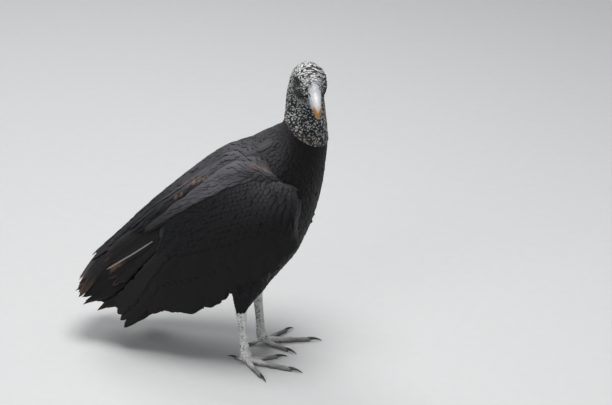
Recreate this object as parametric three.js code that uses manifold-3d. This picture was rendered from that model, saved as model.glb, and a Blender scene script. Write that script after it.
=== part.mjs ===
// Black vulture, standing at rest with its wings folded and its head turned to its right.
// Millimetres. The bird faces +X, its left side is +Y, and it stands on the floor at Z = 0.
import * as THREE from "three";
import { mergeVertices } from "three/addons/utils/BufferGeometryUtils.js";
import Module from "manifold-3d";

const wasm = await Module();
wasm.setup();

// ---- Driving dimensions ----
const GAP = 0.35; // the thin cut between two parts
const HALF_STANCE = 35; // from the midline to each foot
const FOOT_X = 2; // where the feet stand, forward of the body's middle
const FEET_TURN = 10; // degrees that both feet are turned to the bird's left
const HEAD_YAW = -60; // degrees that the head is turned; minus is to the bird's right
const NECK_X = 80; // the upright line that the neck and head turn about
const NECK_Y = -2;
const EYE_RADIUS = 6.6;
const EYE_FORWARD = 31; // each eyeball's centre, forward of the neck's line
const EYE_SIDE = 15; // and off the head's midline
const EYE_HEIGHT = 434;
const LEFT_WING_SHIFT = [-12, 0, -8]; // the left wing lies a little further back along the body
const FLOOR_CUT = 40; // depth of the block that flattens the soles

const BODY_SIDES = 22; // corners of each section of the trunk, neck and head
const BODY_STEPS = 2; // rings from one section to the next
const BILL_SIDES = 12;
const THIGH_SIDES = 12;
const SHANK_SIDES = 9;
const TOE_SIDES = 8;
const CLAW_SIDES = 6;
const EYE_SEGMENTS = 12;

// ---- Colours ----
const skins = {
  plumage: { color: 0x17171a, roughness: 0.75 },
  flight: { color: 0x121214, roughness: 0.6 },
  bare: { color: 0x4c4a4c, roughness: 0.7 },
  horn: { color: 0xc9c4bc, roughness: 0.45 },
  shank: { color: 0xa3a3a0, roughness: 0.8 },
  claw: { color: 0x1d1b1c, roughness: 0.4 },
  eye: { color: 0x1c0f0a, roughness: 0.1 },
};
const materials = Object.fromEntries(
  Object.entries(skins).map(([name, look]) => [
    name,
    new THREE.MeshStandardMaterial({ metalness: 0, ...look }),
  ]),
);

// ---- Sections that every part is read from ----

// Sections of the trunk, neck and head: the forward distance and height of the highest and of the lowest
// point, half the width, and how far the section is turned, as a share of HEAD_YAW. Forward is measured
// from the neck's line.
const BODY = [
  [-260, 161, -250, 146, 16, 0], // vent
  [-236, 192, -218, 140, 29, 0],
  [-198, 229, -166, 130, 45, 0],
  [-158, 263, -116, 114, 60, 0],
  [-116, 302, -68, 113, 67, 0], // belly and thighs
  [-76, 332, -22, 155, 68, 0],
  [-48, 348, 4, 209, 64, 0], // shoulders and breast
  [-35, 356, 18, 258, 54, 0],
  [-29, 367, 25, 302, 43, 0.02],
  [-27, 380, 28, 331, 35, 0.08], // foot of the neck
  [-27, 393, 28, 352, 29, 0.2],
  [-26.5, 405, 27, 369, 26.2, 0.45],
  [-26, 416, 26.5, 382, 24.6, 0.75], // top of the neck
  [-23, 427, 27, 390, 23.6, 0.95],
  [-17, 437.5, 29.5, 395, 22.8, 1], // back of the head
  [-6, 446, 33, 398, 23, 1],
  [9, 451, 38, 400.5, 23, 1], // crown
  [25, 452.5, 43, 403, 21, 1],
  [38, 448.5, 47, 406, 16.6, 1], // brow
  [46.5, 442, 50, 408.5, 12.3, 1],
  [52, 436, 53, 410.5, 9.6, 1], // face, where the bill starts
];
const NECK_CUTS = [
  { forward: 0, height: 355, lean: 37, turn: 0.1 }, // between trunk and neck
  { forward: 2, height: 414, lean: 34, turn: 0.9 }, // between neck and head
];

const UPPER_BILL = [
  [48.5, 440, 50.5, 417.5, 9.6, 1],
  [54, 434, 54, 414.5, 8.8, 1],
  [60, 428, 58, 411, 7.9, 1],
  [66, 422.5, 62.5, 407, 6.9, 1],
  [72, 418, 68, 403, 6.2, 1],
  [77.5, 411, 72.5, 399, 5.2, 1],
  [80, 402.5, 76, 395.5, 3.3, 1], // hook
  [80.2, 395.5, 78.6, 393, 1.3, 1],
];
const LOWER_BILL = [
  [50, 416, 52, 408, 7.6, 1],
  [54.5, 412.5, 55, 404.1, 6.6, 1],
  [60, 408.1, 58.5, 400.9, 5.4, 1],
  [66, 403.3, 64, 397.5, 4.2, 1],
  [71, 398.8, 69.8, 395.9, 2.2, 1],
];

// The folded right wing, front to back. Each row runs from the edge nearest the spine, over the shoulder
// ridge and the outer side, to the lower edge, as four points of x, y, z.
const WING = [
  [60, -57, 296, 78, -62, 286, 88, -66, 262, 85, -64, 236], // leading edge
  [42, -57, 311, 60, -70, 293, 78, -75, 248, 74, -68, 196], // wrist
  [10, -44, 322, 30, -69, 301, 50, -82, 238, 52, -71, 164],
  [-24, -27, 314, -8, -62, 297, 8, -84, 216, 16, -72, 132],
  [-60, -15, 290, -50, -52, 272, -34, -82, 190, -28, -70, 105],
  [-100, -14, 255, -92, -50, 238, -78, -77, 162, -76, -66, 77],
  [-138, -13, 221, -132, -46, 205, -122, -69, 132, -122, -60, 68],
  [-170, -13, 188, -166, -42, 172, -164, -56, 106, -172, -52, 36], // rear lobe
  [-208, -12, 150, -206, -34, 141, -200, -47, 104, -192, -46, 66],
];

// The long outer feathers of the right wing, which show behind its rear edge: upper and lower edge.
const WING_TIP = [
  [-100, -52, 112, -102, -50, 84],
  [-150, -45, 102, -152, -44, 72],
  [-190, -44, 108, -192, -43, 62],
  [-220, -45, 94, -216, -44, 58],
  [-239, -46, 76, -234, -46, 60],
];

// The tail's upper side, root to tip: points at the midline, half way out and at the right edge.
const TAIL = [
  [-150, 0, 186, -150, -18, 183, -152, -34, 174],
  [-192, 0, 156, -192, -24, 151, -193, -42, 138],
  [-229, 0, 130, -227, -28, 123, -221, -50, 101],
  [-258, 0, 90, -255, -30, 80, -242, -53, 68],
];

// The right leg, as x and y from the foot, z and radius: the feathered thigh and the bare shank.
const THIGH = [
  [10, -5, 172, 30],
  [7, -5, 150, 30],
  [4, -3, 128, 26],
  [-1, -2, 108, 17],
  [-5, -1, 93, 11],
  [-7, 0, 83, 7.4],
];
const SHANK = [
  [-7, 0, 86, 7],
  [-7, 0, 77, 7.5], // ankle
  [-5.5, 0, 62, 6.5],
  [-3.5, 0, 38, 6.2],
  [-2, 0, 20, 7.2],
  [0, 0, 11, 8.8],
  [2, 0, 6.6, 8.2], // foot
];

// The right foot's toes: direction in degrees from straight ahead, length with the claw, the claw's share
// of it, radius at the root, and height of the toe's middle line at the root.
const TOES = [
  { name: "middle", turn: -14, length: 86, claw: 0.2, radius: 4.8, rootHeight: 7 },
  { name: "inner", turn: 29, length: 62, claw: 0.25, radius: 4.3, rootHeight: 6.4 },
  { name: "outer", turn: -57, length: 68, claw: 0.22, radius: 4.2, rootHeight: 6.4 },
  { name: "hind", turn: 146, length: 36, claw: 0.38, radius: 3.4, rootHeight: 9 },
];

const SIDES = [
  { word: "right", sign: -1 },
  { word: "left", sign: 1 },
];

// ---- Solids from grids of points ----

// A manifold-3d solid that faces out, whichever way round its triangles were listed.
function solidFrom(positions, index) {
  const build = (triVerts) =>
    new wasm.Manifold(
      new wasm.Mesh({
        numProp: 3,
        vertProperties: new Float32Array(positions),
        triVerts: new Uint32Array(triVerts),
      }),
    );
  const made = build(index);
  if (made.volume() > 0) return made;
  const turnedRound = [];
  for (let i = 0; i < index.length; i += 3) turnedRound.push(index[i], index[i + 2], index[i + 1]);
  return build(turnedRound);
}

// The solid of a closed three.js geometry.
function solidOf(geometry) {
  geometry.deleteAttribute("normal");
  geometry.deleteAttribute("uv");
  const merged = mergeVertices(geometry, 1e-4);
  const source = merged.index.array;
  const index = [];
  for (let i = 0; i < source.length; i += 3) {
    const [a, b, c] = source.slice(i, i + 3);
    if (a !== b && b !== c && c !== a) index.push(a, b, c);
  }
  return solidFrom([...merged.attributes.position.array], index);
}

// A closed solid from rings of equal length, with a point at each end.
function ringSolid(rings, startPole, endPole) {
  const sides = rings[0].length;
  const positions = [startPole, ...rings.flat(), endPole].flatMap((p) => [p.x, p.y, p.z]);
  const last = rings.length * sides + 1;
  const at = (ring, side) => 1 + ring * sides + (side % sides);
  const index = [];
  for (let side = 0; side < sides; side++) {
    index.push(0, at(0, side + 1), at(0, side));
    index.push(last, at(rings.length - 1, side), at(rings.length - 1, side + 1));
    for (let ring = 0; ring + 1 < rings.length; ring++) {
      const [a, b] = [at(ring, side), at(ring, side + 1)];
      const [c, d] = [at(ring + 1, side), at(ring + 1, side + 1)];
      index.push(a, b, d, a, d, c);
    }
  }
  return solidFrom(positions, index);
}

// A smooth curve through rows of numbers, read at a share t of its whole course.
function rowReader(rows) {
  const smooth = (a, b, c, d, w) =>
    0.5 * (2 * b + (c - a) * w + (2 * a - 5 * b + 4 * c - d) * w * w + (3 * b - 3 * c + d - a) * w ** 3);
  return (t) => {
    const along = Math.min(Math.max(t, 0), 1) * (rows.length - 1);
    const start = Math.min(Math.floor(along), rows.length - 2);
    const row = (i) => rows[Math.min(Math.max(i, 0), rows.length - 1)];
    const near = [row(start - 1), row(start), row(start + 1), row(start + 2)];
    return row(0).map((_, k) => smooth(...near.map((r) => r[k]), along - start));
  };
}

// A round solid along a smooth path of [x, y, z, radius] rows, with a blunt point at each end.
function tubeSolid(rows, sides, steps) {
  const bluntness = 0.3; // the end point's distance, as a share of the end radius
  const read = rowReader(rows);
  const count = (rows.length - 1) * steps;
  const point = (t) => new THREE.Vector3(...read(t).slice(0, 3));
  const heading = (t) => point(Math.min(t + 0.02, 1)).sub(point(Math.max(t - 0.02, 0))).normalize();
  const rings = [];
  for (let i = 0; i <= count; i++) {
    const t = i / count;
    const along = heading(t);
    const upright = Math.abs(along.z) > 0.8 ? new THREE.Vector3(1, 0, 0) : new THREE.Vector3(0, 0, 1);
    const across = new THREE.Vector3().crossVectors(upright, along).normalize();
    const up = new THREE.Vector3().crossVectors(along, across);
    const radius = read(t)[3];
    const ring = [];
    for (let side = 0; side < sides; side++) {
      const angle = (2 * Math.PI * (side + 0.5)) / sides;
      const place = point(t).addScaledVector(across, radius * Math.cos(angle));
      ring.push(place.addScaledVector(up, radius * Math.sin(angle)));
    }
    rings.push(ring);
  }
  const start = point(0).addScaledVector(heading(0), -bluntness * read(0)[3]);
  const end = point(1).addScaledVector(heading(1), bluntness * read(1)[3]);
  return ringSolid(rings, start, end);
}

// A solid under a grid of surface points. thickness and inward say how deep it goes and which way, at the
// shares along and over of the grid.
function panelSolid(rows, { steps, across, thickness, inward }) {
  const pointsPerRow = rows[0].length / 3;
  const read = rowReader(rows);
  const rowCount = (rows.length - 1) * steps;
  const columnCount = (pointsPerRow - 1) * across;
  const outer = [];
  const inner = [];
  for (let i = 0; i <= rowCount; i++) {
    const numbers = read(i / rowCount);
    const controls = Array.from({ length: pointsPerRow }, (_, k) => numbers.slice(3 * k, 3 * k + 3));
    const readAcross = rowReader(controls);
    for (let j = 0; j <= columnCount; j++) {
      const [along, over] = [i / rowCount, j / columnCount];
      const place = new THREE.Vector3(...readAcross(over));
      outer.push(place);
      inner.push(place.clone().addScaledVector(inward(over), thickness(along, over)));
    }
  }
  const wide = columnCount + 1;
  const total = outer.length;
  const index = [];
  const quad = (a, b, c, d) => index.push(a, b, c, a, c, d);
  for (let i = 0; i < rowCount; i++) {
    for (let j = 0; j < columnCount; j++) {
      const [a, b, c, d] = [i * wide + j, i * wide + j + 1, (i + 1) * wide + j + 1, (i + 1) * wide + j];
      quad(a, b, c, d);
      quad(total + d, total + c, total + b, total + a);
    }
    const [left, right] = [i * wide, i * wide + columnCount];
    quad(left, left + wide, total + left + wide, total + left);
    quad(right + wide, right, total + right, total + right + wide);
  }
  for (let j = 0; j < columnCount; j++) {
    const low = rowCount * wide + j;
    quad(j + 1, j, total + j, total + j + 1);
    quad(low, low + 1, total + low + 1, total + low);
  }
  return solidFrom([...outer, ...inner].flatMap((p) => [p.x, p.y, p.z]), index);
}

// The same solid with its skin moved out by a little more than the gap, to cut its place in a neighbour.
// Each corner moves along the sum of its faces' directions, each weighed by the face's angle there.
function grown(solid) {
  const reach = 1.5 * GAP; // so that the gap still holds beside a sharp edge
  const { vertProperties, triVerts } = solid.getMesh();
  const corner = (i) => new THREE.Vector3().fromArray(vertProperties, 3 * i);
  const outward = Array.from({ length: vertProperties.length / 3 }, () => new THREE.Vector3());
  for (let i = 0; i < triVerts.length; i += 3) {
    const face = [triVerts[i], triVerts[i + 1], triVerts[i + 2]];
    const [a, b, c] = face.map(corner);
    const normal = b.clone().sub(a).cross(c.clone().sub(a)).normalize();
    [[a, b, c], [b, c, a], [c, a, b]].forEach(([at, next, previous], k) => {
      const angle = next.clone().sub(at).angleTo(previous.clone().sub(at));
      outward[face[k]].addScaledVector(normal, angle);
    });
  }
  const moved = outward.flatMap((way, i) => corner(i).addScaledVector(way.normalize(), reach).toArray());
  return solidFrom(moved, [...triVerts]);
}

// A solid less its neighbours, each with the gap round it. Only its largest piece is kept.
function fitted(solid, ...neighbours) {
  const cut = neighbours.reduce((rest, neighbour) => rest.subtract(grown(neighbour)), solid);
  return cut.decompose().sort((a, b) => b.volume() - a.volume())[0];
}

// ---- Trunk, neck, head and bill ----

const radians = THREE.MathUtils.degToRad;

// A point of the turned neck and head, given in their own frame as forward, left and height.
function turned(forward, left, height, turnShare = 1) {
  const yaw = radians(HEAD_YAW) * turnShare;
  return new THREE.Vector3(
    NECK_X + forward * Math.cos(yaw) - left * Math.sin(yaw),
    NECK_Y * turnShare + forward * Math.sin(yaw) + left * Math.cos(yaw),
    height,
  );
}

// A solid through oval sections, each hung between its highest and its lowest point. A fullness below 1
// squares off the upper or the lower half of the oval.
function sectionSolid(rows, { sides, steps, startReach, endReach, upperFullness = 1, lowerFullness = 1 }) {
  const read = rowReader(rows);
  const count = (rows.length - 1) * steps;
  const rings = [];
  const middles = [];
  for (let i = 0; i <= count; i++) {
    const [topX, topZ, lowX, lowZ, halfWidth, turn] = read(i / count);
    const centre = turned((topX + lowX) / 2, 0, (topZ + lowZ) / 2, turn);
    const up = turned(topX, 0, topZ, turn).sub(centre);
    const left = turned((topX + lowX) / 2, 1, (topZ + lowZ) / 2, turn).sub(centre);
    const ring = [];
    for (let side = 0; side < sides; side++) {
      const angle = (2 * Math.PI * side) / sides;
      const fullness = Math.cos(angle) > 0 ? upperFullness : lowerFullness;
      const sideways = Math.sign(Math.sin(angle)) * Math.abs(Math.sin(angle)) ** fullness;
      const place = centre.clone().addScaledVector(up, Math.cos(angle));
      ring.push(place.addScaledVector(left, sideways * halfWidth));
    }
    rings.push(ring);
    middles.push(centre);
  }
  const outward = (end, next, reach) =>
    middles[end].clone().add(middles[end].clone().sub(middles[next]).setLength(reach));
  return ringSolid(rings, outward(0, 1, startReach), outward(count, count - 1, endReach));
}

// A thin slab across the neck, which slopes down towards the throat.
function neckSlab({ forward, height, lean, turn }) {
  const slabWidth = 160;
  const slab = new THREE.BoxGeometry(slabWidth, slabWidth, GAP);
  slab.rotateY(radians(lean)).rotateZ(radians(HEAD_YAW) * turn);
  const centre = turned(forward, 0, height, turn);
  return solidOf(slab.translate(centre.x, centre.y, centre.z));
}

function eyeSolid(sign) {
  const centre = turned(EYE_FORWARD, sign * EYE_SIDE, EYE_HEIGHT);
  const ball = new THREE.SphereGeometry(EYE_RADIUS, EYE_SEGMENTS, (EYE_SEGMENTS * 2) / 3);
  return solidOf(ball.translate(centre.x, centre.y, centre.z));
}

// ---- Wings and long wing feathers, made for the right side, and the tail ----

// 1 in the middle of the range and 0 at its ends.
const hump = (t) => Math.sqrt(Math.max(0, 4 * t * (1 - t)));

function wingSolid() {
  return panelSolid(WING, {
    steps: 2,
    across: 3,
    thickness: (along, over) => 3 + 10 * hump(0.15 + 0.7 * over) * Math.sqrt(1 - 0.8 * along),
    inward: (over) => new THREE.Vector3(0, 0.25 + 0.75 * over, -0.9 * (1 - over)).normalize(),
  });
}

function wingTipSolid() {
  return panelSolid(WING_TIP, {
    steps: 2,
    across: 2,
    thickness: (along) => 7 - 5 * along,
    inward: () => new THREE.Vector3(0, 1, 0),
  });
}

// Both halves of the tail in one panel, from its left edge to its right.
function tailSolid() {
  const rows = TAIL.map((row) => {
    const [middle, ...right] = [0, 3, 6].map((k) => row.slice(k, k + 3));
    const left = right.map(([x, y, z]) => [x, -y, z]).reverse();
    return [...left, middle, ...right].flat();
  });
  return panelSolid(rows, {
    steps: 2,
    across: 2,
    thickness: (along, over) => 5.5 - 2.5 * along - 2 * Math.abs(over - 0.5),
    inward: () => new THREE.Vector3(0.6, 0, -0.8),
  });
}

// ---- Legs and feet, each made for the right side ----

// Rows given from the foot, moved to where the right foot stands.
const atRightFoot = (rows) => rows.map(([x, y, ...rest]) => [FOOT_X + x, y - HALF_STANCE, ...rest]);

// Rows along a toe, from pairs of distance and height, and its radius there.
function toeRows(toe, feetTurn, rows) {
  const turn = radians(toe.turn + feetTurn);
  return atRightFoot(
    rows.map(([distance, height, radius]) => [
      distance * Math.cos(turn),
      distance * Math.sin(turn),
      height,
      radius,
    ]),
  );
}

function toeSolid(toe, feetTurn) {
  const reach = toe.length * (1 - toe.claw);
  const tipRadius = 0.68 * toe.radius;
  const tipHeight = 0.9 * tipRadius;
  const rows = [0, 0.25, 0.5, 0.75, 1].map((share) => [
    reach * share,
    tipHeight + (toe.rootHeight - tipHeight) * (1 - share) ** 2,
    toe.radius + (tipRadius - toe.radius) * share,
  ]);
  return tubeSolid(toeRows(toe, feetTurn, rows), TOE_SIDES, 1);
}

// A curved claw, which starts inside the toe's end and whose point comes down to the sole's level.
function clawSolid(toe, feetTurn) {
  const start = toe.length * (1 - toe.claw) - 2;
  const reach = toe.length - start;
  const radius = 0.62 * toe.radius;
  const rows = [
    [start, 0.95 * radius, radius * 0.8],
    [start + 0.35 * reach, 1.5 * radius, radius * 0.85],
    [start + 0.7 * reach, 1.2 * radius, radius * 0.55],
    [start + reach, 0.35 * radius, radius * 0.2],
  ];
  return tubeSolid(toeRows(toe, feetTurn, rows), CLAW_SIDES, 1);
}

// ---- Assembly ----

const group = new THREE.Group();

function addPart(name, material, solid) {
  const mesh = solid.getMesh();
  const geometry = new THREE.BufferGeometry();
  geometry.setAttribute("position", new THREE.BufferAttribute(mesh.vertProperties.slice(), 3));
  geometry.setIndex(new THREE.BufferAttribute(mesh.triVerts.slice(), 1));
  const part = new THREE.Mesh(geometry, materials[material]);
  part.name = name;
  group.add(part);
}

const mirrored = (solid) => solid.mirror([0, 1, 0]);
const onSide = (solid, sign) => (sign < 0 ? solid : mirrored(solid));

// The wings lie on the body, each in its own shallow bed.
const rightWing = wingSolid();
const wings = [rightWing, mirrored(rightWing).translate(LEFT_WING_SHIFT)];
const wholeBody = sectionSolid(BODY, {
  sides: BODY_SIDES,
  steps: BODY_STEPS,
  startReach: 9,
  endReach: 1.5,
});
const body = NECK_CUTS.map(neckSlab).reduce((rest, slab) => rest.subtract(slab), wholeBody);
const heightOf = (solid) => solid.boundingBox().max[2];
const [wholeHead, neck, wholeTrunk] = body.decompose().sort((a, b) => heightOf(b) - heightOf(a));

const billShape = { sides: BILL_SIDES, steps: 2, startReach: 0.5, endReach: 0.5 };
const upperBill = sectionSolid(UPPER_BILL, { ...billShape, lowerFullness: 0.5 });
const lowerBill = sectionSolid(LOWER_BILL, { ...billShape, upperFullness: 0.5 });
const eyes = SIDES.map(({ sign }) => eyeSolid(sign));
addPart("head", "bare", fitted(wholeHead, upperBill, lowerBill, ...eyes));
addPart("neck", "bare", neck);
addPart("trunk", "plumage", fitted(wholeTrunk, ...wings));
addPart("bill_upper", "horn", upperBill);
addPart("bill_lower", "horn", fitted(lowerBill, upperBill));

const wholeTail = tailSolid();
addPart("tail", "flight", fitted(wholeTail, wholeBody, ...wings));

const ground = new THREE.BoxGeometry(600, 600, FLOOR_CUT).translate(0, 0, -FLOOR_CUT / 2);
const floorBlock = solidOf(ground);
const onFloor = (solid) => solid.subtract(floorBlock);

SIDES.forEach(({ word, sign }, i) => {
  const wing = wings[i];
  const thigh = onSide(tubeSolid(atRightFoot(THIGH), THIGH_SIDES, 2), sign);
  const shank = onFloor(onSide(tubeSolid(atRightFoot(SHANK), SHANK_SIDES, 2), sign));
  const wingTip = onSide(wingTipSolid(), sign);
  addPart("eye_" + word, "eye", eyes[i]);
  addPart("wing_" + word, "plumage", wing);
  addPart("wing_tip_" + word, "flight", fitted(wingTip, wholeBody, wing, wholeTail));
  addPart("thigh_" + word, "plumage", fitted(thigh, wholeBody, wing));
  addPart("shank_" + word, "shank", fitted(shank, thigh));

  const feetTurn = -sign * FEET_TURN; // the left foot is made as a right one and mirrored
  const nearer = [shank];
  for (const toe of TOES) {
    const bone = onFloor(onSide(toeSolid(toe, feetTurn), sign));
    const claw = onFloor(onSide(clawSolid(toe, feetTurn), sign));
    addPart(`toe_${toe.name}_${word}`, "shank", fitted(bone, ...nearer));
    addPart(`claw_${toe.name}_${word}`, "claw", fitted(claw, bone));
    nearer.push(bone);
  }
});

// The origin is on the floor, under the middle of the whole bird.
const bounds = new THREE.Box3().setFromObject(group);
const middle = bounds.getCenter(new THREE.Vector3());
group.position.set(-middle.x, -middle.y, -bounds.min.z);

export default group;
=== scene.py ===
"""Black vulture, standing at rest with its wings folded and its head turned to its right.

The bird is worked out in millimetres in its own frame, where it faces +X, its left is +Y and the floor is
Z = 0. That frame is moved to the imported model's by one shift, found from the right eye.
"""

import math

import bpy
import numpy as np
from mathutils import Matrix, Vector


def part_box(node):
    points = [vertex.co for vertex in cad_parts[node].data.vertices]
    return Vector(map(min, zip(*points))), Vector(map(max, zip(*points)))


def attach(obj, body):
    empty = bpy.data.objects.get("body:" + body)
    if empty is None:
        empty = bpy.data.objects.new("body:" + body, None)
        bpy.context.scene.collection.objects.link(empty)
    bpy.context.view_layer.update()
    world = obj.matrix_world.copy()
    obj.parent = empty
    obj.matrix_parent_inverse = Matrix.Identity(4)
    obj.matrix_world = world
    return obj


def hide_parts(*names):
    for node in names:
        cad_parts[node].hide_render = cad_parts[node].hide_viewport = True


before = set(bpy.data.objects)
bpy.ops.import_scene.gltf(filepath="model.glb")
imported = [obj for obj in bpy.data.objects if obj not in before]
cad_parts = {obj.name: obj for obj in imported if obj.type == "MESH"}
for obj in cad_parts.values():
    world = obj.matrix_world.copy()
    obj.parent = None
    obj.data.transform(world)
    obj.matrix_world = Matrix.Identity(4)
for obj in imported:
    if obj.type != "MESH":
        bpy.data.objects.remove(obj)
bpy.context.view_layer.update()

# ---- Driving dimensions, in millimetres and degrees ----

MM = 0.001  # metres in a millimetre
HALF_STANCE = 35  # from the midline to each foot
FOOT_X = 2  # both feet, ahead of the origin
FEET_TURN = 10  # both feet, to the bird's left
HEAD_YAW = -60  # the head is turned to the bird's right
NECK_X, NECK_Y = 80, -2  # the upright line that the neck and head turn about
EYE_RADIUS = 6.6
EYE_FORWARD, EYE_SIDE, EYE_HEIGHT = 31, 15, 434  # an eye's middle, in the head's own frame
EYE_SWING = 13  # each eye looks this much ahead of straight out
LID_WIDE, LID_TALL = math.radians(43), math.radians(36)  # half of the opening between the lids, from the eye
LEFT_WING_SHIFT = np.array([-12.0, 0, -8])  # the left wing lies further back and lower than the right

RUFF_HEIGHT, RUFF_LEAN, RUFF_TURN = 352.5, 37, 0.1  # the line where the bare neck comes out of the feathers
RUFF_DEPTH, COAT_DEPTH = 3.0, 5.0  # of the feathers over the trunk's skin, at the ruff and further down
SHANK_PLATE, TOE_PLATE, LEG_SCALE = 3.6, 3.3, 3.3  # sizes of the legs' horny plates and scales
LEG_CELL = 0.85  # size of the cells in which a leg's tubes are made one shell

# Widths of the patches of a small feather, a long one and a primary, as shares of the map, and how many of
# the long ones' patches lie side by side.
PATCH, LONG_PATCH, PRIMARY_PATCH = 0.003, 0.11, 0.12
PATCH_COLUMNS = 8

CAMERA_TURN, CAMERA_DOWN = 18, 22  # round from the bird's right side to its front, and down
CAMERA_AWAY = 3600  # from the point it looks at
AIM_RIGHT, AIM_UP = 75.71, 215.0  # that point, from the origin, in the camera's own directions
FRAME_WIDE = 874.285714  # width of what it sees at that distance
SENSOR = 36  # width of the camera's sensor

# Sections of the trunk, neck and head: forward distance and height of the highest and of the lowest point,
# half the width, and how far the section is turned, as a share of HEAD_YAW.
BODY = [
    [-260, 161, -250, 146, 16, 0],  # vent
    [-236, 192, -218, 140, 29, 0],
    [-198, 229, -166, 130, 45, 0],
    [-158, 263, -116, 114, 60, 0],
    [-116, 302, -68, 113, 67, 0],  # belly and thighs
    [-76, 332, -22, 155, 68, 0],
    [-48, 348, 4, 209, 64, 0],  # shoulders and breast
    [-35, 356, 18, 258, 54, 0],
    [-29, 367, 25, 302, 43, 0.02],
    [-27, 380, 28, 331, 35, 0.08],  # foot of the neck
    [-27, 393, 28, 352, 29, 0.2],
    [-26.5, 405, 27, 369, 26.2, 0.45],
    [-26, 416, 26.5, 382, 24.6, 0.75],  # top of the neck
    [-23, 427, 27, 390, 23.6, 0.95],
    [-17, 437.5, 29.5, 395, 22.8, 1],  # back of the head
    [-6, 446, 33, 398, 23, 1],
    [9, 451, 38, 400.5, 23, 1],  # crown
    [25, 452.5, 43, 403, 21, 1],
    [38, 448.5, 47, 406, 16.6, 1],  # brow
    [46.5, 442, 50, 408.5, 12.3, 1],
    [52, 436, 53, 410.5, 9.6, 1],  # face, where the bill starts
]
UPPER_BILL = [
    [48.5, 440, 50.5, 417.5, 9.6, 1],
    [54, 434, 54, 414.5, 8.8, 1],
    [60, 428, 58, 411, 7.9, 1],
    [66, 422.5, 62.5, 407, 6.9, 1],
    [72, 418, 68, 403, 6.2, 1],
    [77.5, 411, 72.5, 399, 5.2, 1],
    [80, 402.5, 76, 395.5, 3.3, 1],  # hook
    [80.2, 395.5, 78.6, 393, 1.3, 1],
]
LOWER_BILL = [
    [50, 416, 52, 408, 7.6, 1],
    [54.5, 412.5, 55, 404.1, 6.6, 1],
    [60, 408.1, 58.5, 400.9, 5.4, 1],
    [66, 403.3, 64, 397.5, 4.2, 1],
    [71, 398.8, 69.8, 395.9, 2.2, 1],
]
# The folded right wing, front to back, as four points from the edge nearest the spine to the lower edge.
# Its first row turns the leading edge in towards the breast.
WING = [
    [63, -42, 294, 81, -44, 284, 90, -46, 260, 86, -44, 236],
    [60, -57, 296, 78, -62, 286, 88, -66, 262, 85, -64, 236],
    [42, -57, 311, 60, -70, 293, 78, -75, 248, 74, -68, 196],  # wrist
    [10, -44, 322, 30, -69, 301, 50, -82, 238, 52, -71, 164],
    [-24, -27, 314, -8, -62, 297, 8, -84, 216, 16, -72, 132],
    [-60, -15, 290, -50, -52, 272, -34, -82, 190, -28, -70, 105],
    [-100, -14, 255, -92, -50, 238, -78, -77, 162, -76, -66, 77],
    [-138, -13, 221, -132, -46, 205, -122, -69, 132, -122, -60, 68],
    [-170, -13, 188, -166, -42, 172, -164, -56, 106, -172, -52, 36],  # rear lobe
    [-208, -12, 150, -206, -34, 141, -200, -47, 104, -192, -46, 66],
]
WING_TIP = [
    [-100, -52, 112, -102, -50, 84],
    [-150, -45, 102, -152, -44, 72],
    [-190, -44, 108, -192, -43, 62],
    [-220, -45, 94, -216, -44, 58],
    [-239, -46, 76, -234, -46, 60],
]
TAIL = [
    [-150, 0, 186, -150, -18, 183, -152, -34, 174],
    [-192, 0, 156, -192, -24, 151, -193, -42, 138],
    [-229, 0, 130, -227, -28, 123, -221, -50, 101],
    [-258, 0, 90, -255, -30, 80, -242, -53, 68],
]
# The right leg, as x and y from the foot, z and radius.
THIGH = [
    [10, -5, 172, 30],
    [7, -5, 150, 30],
    [4, -3, 128, 26],
    [-1, -2, 108, 17],
    [-5, -1, 93, 11],
    [-7, 0, 83, 7.4],
]
SHANK = [
    [-7, 0, 92, 6.6],
    [-7, 0, 84, 7.4],
    [-7, 0, 77, 7.6],  # ankle
    [-5.5, 0, 62, 6.5],
    [-3.5, 0, 38, 6.2],
    [-2, 0, 20, 7.0],
    [0, 0, 11, 8.4],
    [2, 0, 7.4, 7.6],  # foot
]
# Toes: direction from straight ahead, length with the claw, the claw's share, radius and height of its middle
# line at the root, and where its joints are, as shares of the bare toe.
TOES = {
    "middle": dict(turn=-14, length=86, claw=0.2, radius=4.8, height=7, joints=(0.3, 0.58, 0.84)),
    "inner": dict(turn=29, length=62, claw=0.25, radius=4.3, height=6.4, joints=(0.42, 0.8)),
    "outer": dict(turn=-57, length=68, claw=0.22, radius=4.2, height=6.4, joints=(0.28, 0.5, 0.7, 0.88)),
    "hind": dict(turn=146, length=36, claw=0.38, radius=3.4, height=9, joints=(0.55,)),
}
SIDES = {"right": -1, "left": 1}


# ---- Numbers and vectors ----


def unit(vectors):
    """Each vector over its length."""
    return vectors / np.maximum(np.linalg.norm(vectors, axis=-1, keepdims=True), 1e-12)


def dot(a, b):
    """Each vector's dot product with the other's."""
    return (a * b).sum(-1, keepdims=True)


def ramp(value, start, end):
    """0 before start and 1 after end, with a smooth S between: 3t^2 - 2t^3."""
    t = np.clip((value - start) / (end - start), 0, 1)
    return t * t * (3 - 2 * t)


def bump(value, middle, reach):
    """1 at the middle, falling off as exp(-((value - middle) / reach)^2)."""
    return np.exp(-(((value - middle) / reach) ** 2))


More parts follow.
